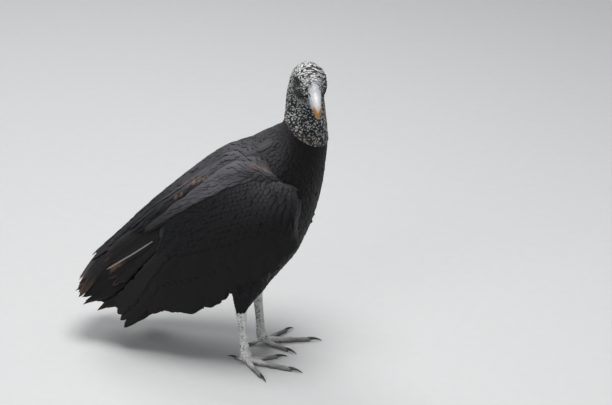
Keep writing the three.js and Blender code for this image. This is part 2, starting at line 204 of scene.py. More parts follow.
def curve(rows, t):
    """Catmull-Rom curve through rows of numbers, read at shares t of its course, and straight on beyond its
    ends. The rows are one table for all t, or one table for each t."""
    rows = np.asarray(rows, float)
    t = np.asarray(t, float)
    last = rows.shape[-2] - 1
    inside = np.clip(t, 0, 1)
    start = np.minimum((inside * last).astype(int), last - 1)
    w = (inside * last - start)[..., None]
    a, b, c, d = (
        rows[i] if rows.ndim == 2 else np.take_along_axis(rows, i[..., None, None], -2)[..., 0, :]
        for i in (np.clip(start + k, 0, last) for k in (-1, 0, 1, 2))
    )
    e, f = 2 * a - 5 * b + 4 * c - d, 3 * b - 3 * c + d - a
    course = 0.5 * (2 * b + (c - a) * w + e * w**2 + f * w**3)
    slope = 0.5 * last * (c - a + 2 * e * w + 3 * f * w**2)
    return course + (t - inside)[..., None] * slope


def waves(points, size, seed, stretch=(1, 1, 1)):
    """Even field of one grain size: the sum of 48 cosines of wavelength size in random directions, scaled to
    a spread of 1. Where it passes zero it draws winding lines, like the furrows of wrinkled skin."""
    count = 48
    rng = np.random.default_rng(seed)
    ways = unit(rng.normal(size=(count, 3))) * (2 * np.pi / size) * np.asarray(stretch)
    phases = rng.uniform(0, 2 * np.pi, count)
    return np.cos(points @ ways.T + phases).sum(-1) * math.sqrt(2 / count)


def cells(points, size, seed):
    """For seeds scattered one to each cube of side size: how much further the second nearest seed is than
    the nearest one, over size. It is 0 along the borders between the seeds' cells."""
    cube = np.floor(points / size)
    nearest = np.full(points.shape[:-1], 9.0)
    second = nearest.copy()
    scatter = np.array([[127.1, 269.5, 113.5], [311.7, 183.3, 271.9], [74.7, 246.1, 124.6]])
    for step in np.ndindex(3, 3, 3):
        at = cube + np.array(step) - 1
        mixed = at @ scatter + seed
        seed_point = at + np.modf(np.abs(np.sin(mixed)) * 43758.5453)[0]
        far = np.linalg.norm(points / size - seed_point, axis=-1)
        second = np.minimum(second, np.maximum(nearest, far))
        nearest = np.minimum(nearest, far)
    return second - nearest


def turned(forward, left, height, share=1.0):
    """A point of the turned neck and head: forward and left are turned about the neck's upright line."""
    yaw = np.radians(HEAD_YAW) * np.asarray(share, float)
    forward, left, height = np.broadcast_arrays(forward, left, height)
    x = NECK_X + forward * np.cos(yaw) - left * np.sin(yaw)
    y = NECK_Y * share + forward * np.sin(yaw) + left * np.cos(yaw)
    return np.stack([x, y, height + 0 * x], -1)


def head_frame(points):
    """Forward, left and height of points in the turned head's own frame."""
    yaw = math.radians(HEAD_YAW)
    x, y = points[..., 0] - NECK_X, points[..., 1] - NECK_Y
    forward = x * math.cos(yaw) + y * math.sin(yaw)
    left = -x * math.sin(yaw) + y * math.cos(yaw)
    return forward, left, points[..., 2]


def above_ruff(points):
    """Height over the sloping plane where the bare neck comes out of the feathers."""
    yaw = math.radians(HEAD_YAW * RUFF_TURN)
    forward = (points[..., 0] - NECK_X) * math.cos(yaw) + points[..., 1] * math.sin(yaw)
    lean = math.radians(RUFF_LEAN)
    return (points[..., 2] - RUFF_HEIGHT) * math.cos(lean) + forward * math.sin(lean)


# ---- Surfaces that the skin and the feathers are laid on ----


def sections(rows, upper=1.0, lower=1.0):
    """Surface through oval sections: at share u of the rows and angle a from the top, centre + up cos a +
    left (half width) |sin a|^fullness. It is turned as its rows say."""

    def surface(u, a):
        top_x, top_z, low_x, low_z, half, share = np.moveaxis(curve(rows, u), -1, 0)
        middle_x, middle_z = (top_x + low_x) / 2, (top_z + low_z) / 2
        centre = turned(middle_x, 0, middle_z, share)
        up = turned(top_x, 0, top_z, share) - centre
        left = turned(middle_x, 1, middle_z, share) - centre
        fullness = np.where(np.cos(a) > 0, upper, lower)
        sideways = np.sign(np.sin(a)) * np.abs(np.sin(a)) ** fullness * half
        return centre + up * np.cos(a)[..., None] + left * sideways[..., None]

    return surface


def panel(rows):
    """Surface through rows of points: a smooth curve down the rows, and another across the points there."""

    def surface(s, o):
        s, o = np.broadcast_arrays(np.asarray(s, float), np.asarray(o, float))
        controls = curve(rows, s)
        return curve(controls.reshape(s.shape + (-1, 3)), o)

    return surface


def tube(rows, flat=1.0):
    """Surface round a smooth path of x, y, z and radius: middle + radius (across cos a - up sin a). flat
    narrows it sideways."""
    rows = np.asarray(rows, float)

    def surface(t, a):
        t, a = np.broadcast_arrays(np.asarray(t, float), np.asarray(a, float))
        here = curve(rows, t)
        along = unit(curve(rows, t + 0.02)[..., :3] - curve(rows, t - 0.02)[..., :3])
        steep = np.abs(rows[-1, 2] - rows[0, 2]) > np.linalg.norm(rows[-1, :2] - rows[0, :2])
        upright = np.array([1.0, 0, 0]) if steep else np.array([0, 0, 1.0])
        across = unit(np.cross(upright, along))
        up = np.cross(along, across)
        ring = across * (flat * np.cos(a))[..., None] - up * np.sin(a)[..., None]
        return here[..., :3] + ring * here[..., 3:4]

    return surface


def whole_tail():
    """The tail's rows from its left edge to its right, mirrored from the right half."""
    rows = np.array(TAIL, float).reshape(len(TAIL), 3, 3)
    left = rows[:, :0:-1] * [1, -1, 1]
    return np.concatenate([left, rows], 1).reshape(len(TAIL), -1)


body = sections(BODY)
wing = panel(WING)
wing_tip = panel(WING_TIP)
tail = panel(whole_tail())


def slopes(surface, u, v):
    """Place, slope along u, slope along v, and the unit normal u x v, by small steps either way."""
    h = 1e-4
    along_u = (surface(u + h, v) - surface(u - h, v)) / (2 * h)
    along_v = (surface(u, v + h) - surface(u, v - h)) / (2 * h)
    return surface(u, v), along_u, along_v, unit(np.cross(along_u, along_v))


def steps_for(way, along_u, along_v):
    """How fast u and v change along a direction: the least squares answer of along_u p + along_v q = way."""
    e, f, g = dot(along_u, along_u), dot(along_u, along_v), dot(along_v, along_v)
    a, b = dot(along_u, way), dot(along_v, way)
    area = np.maximum(e * g - f * f, 1e-9)
    return ((g * a - f * b) / area)[..., 0], ((e * b - f * a) / area)[..., 0]


def spot(surface, x, z, u_range=(0.0, 1.0), v_range=(0.0, 1.0)):
    """The u and v of a surface that lie at given x and z: the nearest of a grid, then three Newton steps."""
    u, v = (m.ravel() for m in np.meshgrid(np.linspace(*u_range, 90), np.linspace(*v_range, 60)))
    grid = surface(u, v)[:, ::2]
    goal = np.stack([x, z], -1)
    nearest = np.linalg.norm(goal[:, None] - grid[None], axis=-1).argmin(1)
    u, v = u[nearest], v[nearest]
    first_u, first_v = u, v
    for _ in range(3):
        reached, along_u, along_v, _ = slopes(surface, u, v)
        miss = goal - reached[:, ::2]
        a, b, c, d = along_u[:, 0], along_v[:, 0], along_u[:, 2], along_v[:, 2]
        area = a * d - b * c
        area = np.where(np.abs(area) < 1, np.sign(area + 1e-9), area)
        u = u + np.clip((d * miss[:, 0] - b * miss[:, 1]) / area, -0.06, 0.06)
        v = v + np.clip((a * miss[:, 1] - c * miss[:, 0]) / area, -0.06, 0.06)
    lost = (np.abs(u - first_u) > 0.12) | (np.abs(v - first_v) > 0.15)
    return np.where(lost, first_u, u), np.where(lost, first_v, v)


# ---- Meshes ----

eye_low, eye_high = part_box("eye_right")
shift = np.array((eye_low + eye_high) / 2) - turned(EYE_FORWARD, -EYE_SIDE, EYE_HEIGHT) * MM


def place(points):
    """Millimetres in the bird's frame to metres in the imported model's."""
    return np.asarray(points, float) * MM + shift


def make_mesh(name, points, faces, values=None, flat=(), uv=None):
    """An object of points in the bird's frame. faces is a list of tables of corners, one row a face. values
    holds attributes of its points, flat the numbers of the tables whose faces aren't smooth, and uv the
    places of the faces' corners on the map."""
    mesh = bpy.data.meshes.new(name)
    corners = np.concatenate([table.ravel() for table in faces])
    counts = np.concatenate([np.full(len(table), table.shape[1]) for table in faces])
    mesh.vertices.add(len(points))
    mesh.vertices.foreach_set("co", place(points).astype(np.float32).ravel())
    mesh.loops.add(len(corners))
    mesh.loops.foreach_set("vertex_index", corners.astype(np.int32))
    mesh.polygons.add(len(counts))
    mesh.polygons.foreach_set("loop_start", np.concatenate([[0], np.cumsum(counts)[:-1]]).astype(np.int32))
    mesh.polygons.foreach_set("loop_total", counts.astype(np.int32))
    smooth = [np.full(len(table), k not in flat) for k, table in enumerate(faces)]
    mesh.polygons.foreach_set("use_smooth", np.concatenate(smooth))
    for key, value in (values or {}).items():
        kind = "FLOAT" if np.ndim(value) == 1 else "FLOAT_VECTOR"
        field = "value" if np.ndim(value) == 1 else "vector"
        attribute = mesh.attributes.new(key, kind, "POINT")
        attribute.data.foreach_set(field, np.asarray(value, np.float32).ravel())
    if uv is not None:
        mesh.uv_layers.new(name="OFBake").data.foreach_set("uv", np.asarray(uv, np.float32).ravel())
    mesh.update()
    mesh.validate()
    piece = bpy.data.objects.new(name, mesh)
    bpy.context.scene.collection.objects.link(piece)
    return piece


def settle(piece, material, slot, *nodes):
    """The piece gets its material, rides on the bird and stands for the nodes. Its slot is not used."""
    piece.data.materials.append(material)
    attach(piece, "root")
    if nodes:
        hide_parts(*nodes)


def round_grid(shares, sides):
    """Grids of shares and of even angles round, with one ring of angles for each share."""
    return np.meshgrid(shares, np.arange(sides) * 2 * np.pi / sides, indexing="ij")


def ring_faces(rings, sides):
    """Faces of a closed grid of rings, whose poles are the two points after its last ring."""
    at = np.arange(rings * sides).reshape(rings, sides)
    after = np.roll(at, -1, 1)
    quads = np.stack([at[:-1], at[1:], after[1:], after[:-1]], -1).reshape(-1, 4)
    start, end = rings * sides, rings * sides + 1
    low = np.stack([np.full(sides, start), at[0], after[0]], -1)
    high = np.stack([np.full(sides, end), after[-1], at[-1]], -1)
    return [quads, np.concatenate([low, high])]


def grid_quads(at):
    """Faces between the neighbours in a grid of the points' numbers."""
    return np.stack([at[:-1, :-1], at[1:, :-1], at[1:, 1:], at[:-1, 1:]], -1).reshape(-1, 4)


def slab(upper, lower):
    """A closed shell between two grids of the same size."""
    rows, columns = upper.shape[:2]
    total = rows * columns
    at = np.arange(total).reshape(rows, columns)
    quads = grid_quads(at)
    edge = np.concatenate([at[:-1, 0], at[-1, :-1], at[:0:-1, -1], at[0, :0:-1]])
    after = np.roll(edge, -1)
    walls = np.stack([after, edge, edge + total, after + total], -1)
    points = np.concatenate([upper.reshape(-1, 3), lower.reshape(-1, 3)])
    return points, [quads, quads[:, ::-1] + total, walls]


def closed_tube(surface, rings, sides):
    """Points and faces of a closed tube, with a blunt point past each end, 0.3 of the radius long."""
    blunt = 0.3
    rim = surface(*round_grid(np.linspace(0, 1, rings), sides))
    middles = rim.mean(1)
    size = np.linalg.norm(rim - middles[:, None], axis=-1).mean(1)
    start = middles[0] - unit(middles[1] - middles[0]) * blunt * size[0]
    end = middles[-1] + unit(middles[-1] - middles[-2]) * blunt * size[-1]
    return np.concatenate([rim.reshape(-1, 3), [start, end]]), ring_faces(rings, sides)


def joined(parts):
    """Shells, each as its points, its faces and then other tables, as the points and faces of one mesh."""
    starts = np.cumsum([0] + [len(part[0]) for part in parts])
    faces = [table + start for start, part in zip(starts, parts) for table in part[1]]
    return np.concatenate([part[0] for part in parts]), faces


def joined_values(tables):
    """The attributes of several shells, one after the other."""
    return {key: np.concatenate([table[key] for table in tables]) for key in tables[0]}


def to_left(points):
    """Where points of the right wing lie on the left one: mirrored, and moved as that wing is."""
    return points * [1, -1, 1] + LEFT_WING_SHIFT


def on_side(points, faces, side):
    """The right side's points and faces, or their mirror image on the left."""
    if side == "right":
        return points, faces
    return to_left(points), [table[:, ::-1] for table in faces]


def normals_of(points, quads):
    """Unit normals at the points: the sum of the faces' cross products of their diagonals there."""
    across = np.cross(points[quads[:, 2]] - points[quads[:, 0]], points[quads[:, 3]] - points[quads[:, 1]])
    total = np.zeros_like(points)
    for k in range(4):
        np.add.at(total, quads[:, k], across)
    return unit(total)


# ---- Materials ----


class Value:
    """A node's output that may be used in sums. Numbers and other values join it by Math nodes."""

    def __init__(self, maker, socket):
        self.maker, self.socket = maker, socket

    def math(self, operation, *others):
        """A Math node of this value and others."""
        inputs = dict(enumerate((self, *others)))
        return self.maker.node("ShaderNodeMath", {"operation": operation}, inputs)

    def __add__(self, other):
        return self.math("ADD", other)

    def __sub__(self, other):
        return self.math("SUBTRACT", other)

    def __mul__(self, other):
        return self.math("MULTIPLY", other)

    def __rsub__(self, other):
        return (self * -1) + other

    __radd__, __rmul__ = __add__, __mul__

    def ramp(self, start, end):
        """0 before start and 1 after end, smooth between."""
        inputs = {"Value": self, "From Min": start, "From Max": end, "To Min": 0.0, "To Max": 1.0}
        return self.maker.node("ShaderNodeMapRange", {"interpolation_type": "SMOOTHSTEP"}, inputs)


class Maker:
    """A material being made: a Principled shader, and the nodes that feed it."""

    def __init__(self, name, **constants):
        self.material = bpy.data.materials.new(name)
        self.material.use_nodes = True
        self.tree = self.material.node_tree
        self.shader = self.tree.nodes["Principled BSDF"]
        for socket, value in constants.items():
            self.shader.inputs[socket.replace("_", " ")].default_value = value

    def node(self, kind, settings=None, inputs=None, output=0):
        """A node of a kind: its settings first, then the values or links of its sockets."""
        made = self.tree.nodes.new(kind)
        for key, value in (settings or {}).items():
            setattr(made, key, value)
        for key, value in (inputs or {}).items():
            self.feed(made.inputs[key], value)
        return Value(self, made.outputs[output])

    def feed(self, socket, value):
        """Link a value to a socket, or set a constant there. A colour's fourth number is cut for a vector."""
        if isinstance(value, Value):
            self.tree.links.new(value.socket, socket)
        elif hasattr(value, "__len__"):
            socket.default_value = value[: len(socket.default_value)]
        else:
            socket.default_value = value

    def attribute(self, name, output="Fac"):
        """A field kept on the piece's points."""
        return self.node("ShaderNodeAttribute", {"attribute_name": name}, {}, output)

    def here(self):
        """Place on the piece, in metres."""
        return self.node("ShaderNodeTexCoord", {}, {}, "Object")

    def noise(self, vector, scale, detail=3.0, roughness=0.5):
        """Cloudy noise from 0 to 1, with scale grains to a metre."""
        inputs = {"Vector": vector, "Scale": scale, "Detail": detail, "Roughness": roughness}
        return self.node("ShaderNodeTexNoise", {}, inputs, "Fac")

    def mix(self, factor, first, second):
        """Between two colours, which are inputs 6 and 7 and output 2 of a Mix node."""
        return self.node("ShaderNodeMix", {"data_type": "RGBA"}, {0: factor, 6: first, 7: second}, 2)

    def dim(self, colour, factor):
        """A colour times a value."""
        return self.node("ShaderNodeVectorMath", {"operation": "SCALE"}, {0: colour, "Scale": factor})

    def finish(self, colour, roughness, height=None, depth=0.0):
        """The material, with bumps of a depth in metres where a height is given."""
        self.feed(self.shader.inputs["Base Color"], colour)
        self.feed(self.shader.inputs["Roughness"], roughness)
        if height is not None:
            inputs = {"Height": height, "Distance": depth, "Strength": 1.0}
            self.feed(self.shader.inputs["Normal"], self.node("ShaderNodeBump", {}, inputs))
        return self.material


def grey(value, warmth=0.0):
    """A grey of a brightness, redder above and bluer below a warmth of 0."""
    return (value * (1 + warmth), value, value * (1 - warmth), 1)


def plumage_material(name, black, sheen, gloss):
    """Feathers: black with brown wear, each a little lighter or darker than the next, lighter still where a
    painted sheen of light is given, and fine slanting barbs either side of the shaft."""
    bluish = (0.72, 0.8, 1.0, 1)
    m = Maker(name, Sheen_Weight=sheen, Sheen_Roughness=0.45, Sheen_Tint=bluish, Specular_IOR_Level=gloss)
    vane = m.node("ShaderNodeSeparateXYZ", {}, {0: m.attribute("vane", "Vector")})
    along, across, chance = (Value(m, output) for output in vane.socket.node.outputs)
    slant = along * 0.8 - across.math("ABSOLUTE") * 1.1
    flutter = m.noise(m.here(), 160.0, roughness=0.6)
    barbs = (slant * 5200 + flutter * 9 + chance * 40).math("SINE")  # 1.2 mm apart
    mottle = m.noise(m.here(), 45.0, roughness=0.6)
    drawn_out = m.node("ShaderNodeCombineXYZ", {}, {0: along * 60, 1: across * 420, 2: chance * 90})
    streak = m.noise(drawn_out, 1.0, roughness=0.6)
    wear = m.attribute("wear")
    faded = (wear + (streak - 0.5) * 0.7 * wear.ramp(0.0, 0.3)).ramp(0.15, 1.0)
    # The feathers' own tone, times painted sheen: on the mantle, cape, coverts, shoulder and back it is
    # raised where light from above catches them.
    shade = m.attribute("tone") * (0.45 + mottle * 0.45 + streak * 0.65 + barbs * 0.05)
    rust = (0.19, 0.105, 0.075, 1)
    colour = m.mix(faded, m.dim(black, shade), rust)
    roughness = 0.5 + mottle * 0.16 + faded * 0.2
    return m.finish(colour, roughness, barbs * 0.2 + flutter * 0.6 + streak, 0.00025)


def skin_material():
    """Bare skin: black furrows and pale dry ridges, browner along the neck's lower edge, and pale grey scales
    with dark creases on the legs."""
    m = Maker("bare_skin", Specular_IOR_Level=0.35, Sheen_Weight=0.08)
    relief, pale = m.attribute("relief"), m.attribute("pale")
    blush, leg = m.attribute("blush"), m.attribute("leg")
    speck = m.noise(m.here(), 900.0, 4.0, 0.65)
    patches = m.noise(m.here(), 90.0, roughness=0.55)
    ridge = m.mix(pale, grey(0.3, -0.005), grey(0.46, -0.01))
    ridge = m.mix(blush, ridge, (0.22, 0.165, 0.13, 1))
    lines = m.noise(m.here(), 420.0, 2.0)
    furrow = (lines - 0.5).math("ABSOLUTE").ramp(0.0, 0.06)
    ridge = m.dim(ridge, 0.7 + patches * 0.75)
    top = (relief + (patches - 0.5) * 0.4 + (speck - 0.5) * 0.35 + (furrow - 1.0) * 0.3).ramp(0.44, 0.86)
    bare = m.mix(top, grey(0.008, -0.05), ridge)
    scale = m.mix(patches.ramp(0.3, 0.7), grey(0.55), grey(0.74, 0.02))
    scaly = m.mix((relief + (speck - 0.5) * 0.3).ramp(0.05, 0.55), grey(0.11, 0.05), scale)
    # Darker over the toes and in the lowest 7 mm next to the floor.
    scaly = m.mix(m.attribute("grime"), scaly, grey(0.05, 0.08))
    colour = m.mix(leg, bare, scaly)
    colour = m.mix(m.attribute("hidden"), colour, grey(0.012))
    return m.finish(colour, 0.78 - relief * 0.2 + patches * 0.1, speck * 0.6 + furrow * 0.6, 0.0003)


def bill_material():
    """Horn: grey skin-like cere at its root, ivory grey along its middle, and an amber tip, with painted
    shade in the nostrils and under the upper half's edge.
    """
    m = Maker("bill_horn", Specular_IOR_Level=0.4, Coat_Weight=0.12, Coat_Roughness=0.3)
    reach, hollow = m.attribute("reach"), m.attribute("hollow")
    drawn_out = m.node("ShaderNodeMapping", {}, {"Vector": m.here(), "Scale": (1, 1, 0.35)})
    streak = m.noise(drawn_out, 420.0, 4.0)
    cloud = m.noise(m.here(), 110.0)
    along = reach + (cloud - 0.5) * 0.12
    folds = m.noise(m.here(), 260.0, 4.0, 0.6)
    root = m.mix((folds + along * 1.5).ramp(0.42, 0.72), grey(0.045, -0.06), grey(0.3, -0.05))
    horn = m.mix(along.ramp(0.12, 0.5), root, grey(0.42, -0.01))
    amber, amber_tip = (0.33, 0.145, 0.018, 1), (0.36, 0.19, 0.04, 1)
    horn = m.mix(along.ramp(0.7, 0.9), horn, amber)
    horn = m.mix(along.ramp(0.93, 1.0), horn, amber_tip)
    horn = m.dim(horn, 0.78 + streak * 0.44)
    # Painted shade in the nostrils and along the lower half's edge under the upper one.
    colour = m.mix(hollow, horn, grey(0.012, 0.1))
    return m.finish(colour, 0.42 + streak * 0.2 - reach * 0.08, streak, 0.00012)


def eye_material():
    """Dark brown iris round a black pupil, under a wet clear surface."""
    m = Maker("wet_eye", Coat_Weight=0.35, Coat_Roughness=0.03, Specular_IOR_Level=0.3)
    ring = m.attribute("ring")
    rays = m.noise(m.here(), 1500.0)
    iris = m.mix(rays.ramp(0.3, 0.75), (0.03, 0.011, 0.005, 1), (0.1, 0.036, 0.014, 1))
    iris = m.mix(ring.ramp(0.42, 0.56), iris, (0.008, 0.005, 0.004, 1))
    colour = m.mix(ring.ramp(0.3, 0.34), (0.002, 0.002, 0.002, 1), iris)
    return m.finish(colour, 0.16 + ring * 0.05)


def claw_material():
    """Blackish horn, smooth and faintly streaked."""
    m = Maker("claw_horn", Specular_IOR_Level=0.45)
    streak = m.noise(m.here(), 700.0)
    colour = m.mix(streak.ramp(0.3, 0.8), grey(0.012, 0.05), grey(0.04, 0.08))
    return m.finish(colour, 0.3 + streak * 0.25, streak, 0.0001)


body_plumage = plumage_material("body_feathers", (0.0145, 0.0142, 0.0156, 1), 0.022, 0.13)
flight_plumage = plumage_material("flight_feathers", (0.0125, 0.012, 0.0115, 1), 0.025, 0.14)


# ---- Skin: trunk, neck, head and legs in one mesh ----


def trunk_inset(points):
    """How deep the skin lies: RUFF_DEPTH below the ruff's line, COAT_DEPTH from 60 mm below it, and 1 mm out
    in a rounded hem just above the line, where the bare neck overhangs the ruff."""
    up = above_ruff(points)
    coat = RUFF_DEPTH * ramp(-up, -0.5, 3) + (COAT_DEPTH - RUFF_DEPTH) * ramp(-up, 20, 60)
    return coat - bump(up, 2.4, 2.2)


def eye_axes(sign):
    """The eye's centre, and its outward, forward and upward directions."""
    centre = turned(EYE_FORWARD, sign * EYE_SIDE, EYE_HEIGHT)
    ahead = turned(1, 0, 0) - turned(0, 0, 0)
    left = turned(0, 1, 0) - turned(0, 0, 0)
    swing = math.radians(EYE_SWING)
    out = unit(sign * left * math.cos(swing) + ahead * math.sin(swing) + [0, 0, 0.04])
    front = unit(ahead - out * (ahead @ out))
    return centre, out, front, unit(np.array([0, 0, 1.0]) - out * out[2] - front * front[2])


def lids(points, sign):
    """Skin pulled over the eyeball: within the opening it is sunk 1.3 mm behind the ball's face, and round
    the opening it rises 0.85 mm over the ball as a lid and dies into the face. Also how near the rim is."""
    centre, out, front, up = eye_axes(sign)
    away = points - centre
    far = np.linalg.norm(away, axis=-1)
    way = away / np.maximum(far, 1e-6)[..., None]
    facing = way @ out
    wide = np.arctan2(way @ front, facing)
    tall = np.arctan2(way @ up, facing)
    open_share = np.sqrt((wide / LID_WIDE) ** 2 + (tall / LID_TALL) ** 2)
    near = (facing > 0.25) & (far < 14)
    sunk = EYE_RADIUS - 1.3
    raised = np.maximum(far, EYE_RADIUS + 0.85 - 0.5 * ramp(open_share, 1.1, 1.9))
    radius = np.where(near, sunk + (raised - sunk) * ramp(open_share, 0.9, 1.02), far)
    rim = np.where(near, bump(open_share, 1.25, 0.35), 0)
    return centre + way * radius[..., None], rim


# Swellings of the head, and a hollow: how far each rises, where its middle is, as forward, out to the side
# and height, and its reach.
SWELLINGS = [
    (1.4, 26, 16.5, 443.5, 7),  # brow
    (0.8, 32, 19, 426.5, 5.5),  # under the eye
    (-1.4, 41.5, 13, 428, 6),  # hollow before the eye
    (0.9, 38, 15, 419, 7),  # cheek
    (0.7, 8, 24, 434, 8),  # temple
]


def head_shape(points, normals):
    """The head with its swellings, each as rise times exp(-(distance / reach)^2) along the skin's normal, its
    ears, and the line of the mouth with a lip below. Also the painted shade that darkens the ear openings and
    the mouth's gape."""
    forward, left, height = head_frame(points)
    side = np.abs(left)
    rise = 0
    for amount, f, s, z, reach in SWELLINGS:
        far = (forward - f) ** 2 + (side - s) ** 2 + (height - z) ** 2
        rise = rise + amount * np.exp(-(far / reach**2))
    ear = np.sqrt(((forward - 9.5) / 3.4) ** 2 + ((height - 425.5) / 4.6) ** 2)  # 1 along its oval rim
    ear_side = ramp(side, 12, 17)
    rise += ear_side * (-3.4 * ramp(-ear, -1.0, -0.35) + 0.9 * bump(ear, 1.25, 0.3))
    back = np.clip((51 - forward) / 17, 0, 1)
    mouth = 416.3 - 5.5 * back**1.3  # height of the mouth's line, which falls from the bill's root back
    gape = bump(height, mouth, 0.9) * ramp(side, 5, 8) * ramp(forward, 33, 36) * (forward < 55)
    lip = bump(height, mouth - 2.6, 1.6) * ramp(side, 5, 8) * ramp(forward, 32, 38)
    rise += 0.8 * lip - 1.3 * gape
    # Painted shade in the ear openings and along the mouth's gape.
    recess_shade = np.maximum(ear_side * ramp(-ear, -1.15, -0.7), gape)
    return points + normals * rise[..., None], recess_shade


def wrinkles(points):
    """Height of the skin's folds from 0 in the furrows to 1 on the ridges: 1 - exp(-(w / width)^2) of winding
    waves w. They run across on the crown, are rounder on the neck and smaller on the face. Also the finest of
    the waves alone."""
    forward, left, height = head_frame(points)
    own = np.stack([forward, left, height], -1)
    crown = ramp(height, 431, 442) * ramp(forward, -24, -12)
    face = ramp(forward, 30, 44) * ramp(height, 400, 410) * (1 - crown)
    broad = waves(own, 4.9, 3, stretch=(1.0, 0.85, 1.15))
    across = waves(own, 4.2, 4, stretch=(1.25, 0.3, 0.9))
    small = waves(own, 4.4, 5)
    fine = waves(own, 2.2, 6)
    w = broad * (1 - crown) + across * crown
    w = w * (1 - face) + small * face
    scale = np.sqrt((1 - crown) ** 2 + crown**2) * np.sqrt((1 - face) ** 2 + face**2)
    w = w / scale + 0.22 * fine
    return 1 - np.exp(-((w / (0.82 - 0.16 * crown)) ** 2)), fine


def body_skin():
    """The skin of trunk, neck and head as one closed grid of rings, fine from the neck up."""
    sides, neck = 236, 0.4
    shares = np.concatenate([np.linspace(0, neck, 40, endpoint=False), np.linspace(neck, 1, 212)])
    u, a = round_grid(shares, sides)
    points, _, _, normals = slopes(body, u, a)
    points, recess_shade = head_shape(points - normals * trunk_inset(points)[..., None], normals)
    rims = 0
    for sign in SIDES.values():
        points, rim = lids(points, sign)
        rims = rims + rim
    rims = np.clip(rims, 0, 1)
    forward, left, height = head_frame(points)
    side = np.abs(left)
    up = above_ruff(points)
    fold, fine = wrinkles(points)
    # Folds, shallower near the bill, round the eyes and on the sides of the face.
    near_bill = ramp(forward, 38, 50) * (u > 0.8)
    cere = ramp(forward, 36, 47) * ramp(height, 421, 433)
    depth = (1.25 - 0.45 * ramp(height, 425, 440)) * (1 - 0.7 * near_bill) * (1 - 0.65 * rims)
    depth = depth * (1 - 0.5 * ramp(forward, 20, 30) * ramp(side, 10, 15) * (height > 405))
    bare = ramp(up, -1, 3)
    rise = bare * (depth * (fold - 0.5) + 0.1 * fine)
    points = points + normals * rise[..., None]
    tuck = ramp(u, 0.978, 1.0)  # the last rings dive into the root of the bill
    axis = body(u, 0 * a) * 0.5 + body(u, 0 * a + np.pi) * 0.5
    points = points + (axis - points) * (0.45 * tuck)[..., None]
    # Pale dry ridges on the crown, the brow and the cere, painted shade that darkens the ridges on the face
    # below the eye and before it, and a browner hem.
    crown = ramp(height, 436, 447) * ramp(forward - 0.6 * side, -2, 14)
    brow = np.exp(-((forward - 27) ** 2 / 90 + (side - 15) ** 2 / 60 + (height - 442) ** 2 / 30))
    pale = 0.12 + 0.75 * crown + 0.6 * brow + 0.6 * cere
    # Painted shadow below the eye, down towards the mouth's corner.
    pale = pale - 0.22 * ramp(forward, 12, 26) * ramp(-height, -432, -420) * ramp(height, 400, 410)
    hem = bump(up, 2.5, 4.5) * ramp(forward, -10, 15)
    blush = 0.8 * hem + 0.16 * crown
    # Painted shade before the eye and over the mouth's corner: darker ridges there.
    lore_shade = np.exp(-((forward - 37) ** 2 / 110 + (height - 416) ** 2 / 90)) * ramp(side, 7, 11)
    pale = pale - 0.3 * lore_shade + 0.15 * bump(up, 3, 5)
    relief = fold + (0.8 - fold) * 0.55 * np.clip(brow, 0, 1) - 0.6 * lore_shade * fold + (0.7 - fold) * 0.5 * hem
    relief = relief + (0.72 - relief) * 0.75 * cere
    # The painted shade of the ears and the gape makes the skin black there.
    relief = np.clip(relief * (1 - recess_shade), 0, 1) * (1 - 0.35 * rims)
    hidden = 1 - ramp(up, -2.5, 0.5)
    values = skin_values(u.shape, relief=relief, pale=np.clip(pale, 0, 1), blush=blush, hidden=hidden)
    values = {key: np.append(value, [key == "hidden"] * 2) for key, value in values.items()}
    poles = [points[0].mean(0) - [6, 0, 2], points[-1].mean(0)]
    return np.concatenate([points.reshape(-1, 3), poles]), ring_faces(len(shares), sides), values


def toe_ways(side):
    """For each toe of a foot: its name, its measures and its unit direction over the floor."""
    for name, toe in TOES.items():
        turn = math.radians(-SIDES[side] * toe["turn"] + FEET_TURN)
        yield name, toe, np.array([math.cos(turn), math.sin(turn), 0])


def foot_middle(side):
    """Where a foot stands."""
    return np.array([FOOT_X, SIDES[side] * HALF_STANCE, 0.0])


def along_toe(side, way, reach, height, radius):
    """Rows of a tube that lies along a toe: a height and a radius at each reach from the foot's middle."""
    path = foot_middle(side) + way * reach[:, None] + [0, 0, 1] * height[:, None]
    return np.concatenate([path, radius[:, None]], 1)


def toe_tube(side, toe, way):
    """A toe from foot to claw: its middle line comes down as (1 - t)^2, and its radius falls to 0.68 and
    swells at each joint."""
    reach = toe["length"] * (1 - toe["claw"])
    t = np.linspace(0, 1, 24)
    tip = 0.68 * toe["radius"]
    radius = toe["radius"] + (tip - toe["radius"]) * t
    swell = sum(bump(t, joint, 0.05) for joint in toe["joints"])
    radius = radius * (0.93 + 0.14 * swell + 0.08 * bump(t, 1, 0.12))
    height = 0.9 * tip + (toe["height"] - 0.9 * tip) * (1 - t) ** 2
    return tube(along_toe(side, way, reach * t, height, radius))


def at_foot(rows, side):
    """A leg's rows, which are given from the foot, in their place on one side."""
    return [[FOOT_X + x, SIDES[side] * (HALF_STANCE - y), *rest] for x, y, *rest in rows]


def remeshed(parts, cell):
    """Overlapping closed shells made into one by a voxel remesh, as points and quads."""
    rough = make_mesh("rough_leg", *joined(parts))
    change = rough.modifiers.new("one_shell", "REMESH")
    change.mode, change.voxel_size = "VOXEL", cell * MM
    made = rough.evaluated_get(bpy.context.evaluated_depsgraph_get()).to_mesh()
    points = np.empty(len(made.vertices) * 3, np.float32)
    made.vertices.foreach_get("co", points)
    quads = np.empty(len(made.polygons) * 4, np.int32)
    made.loops.foreach_get("vertex_index", quads)
    rough.to_mesh_clear()
    bpy.data.objects.remove(rough)
    return (points.reshape(-1, 3).astype(float) - shift) / MM, quads.reshape(-1, 4)


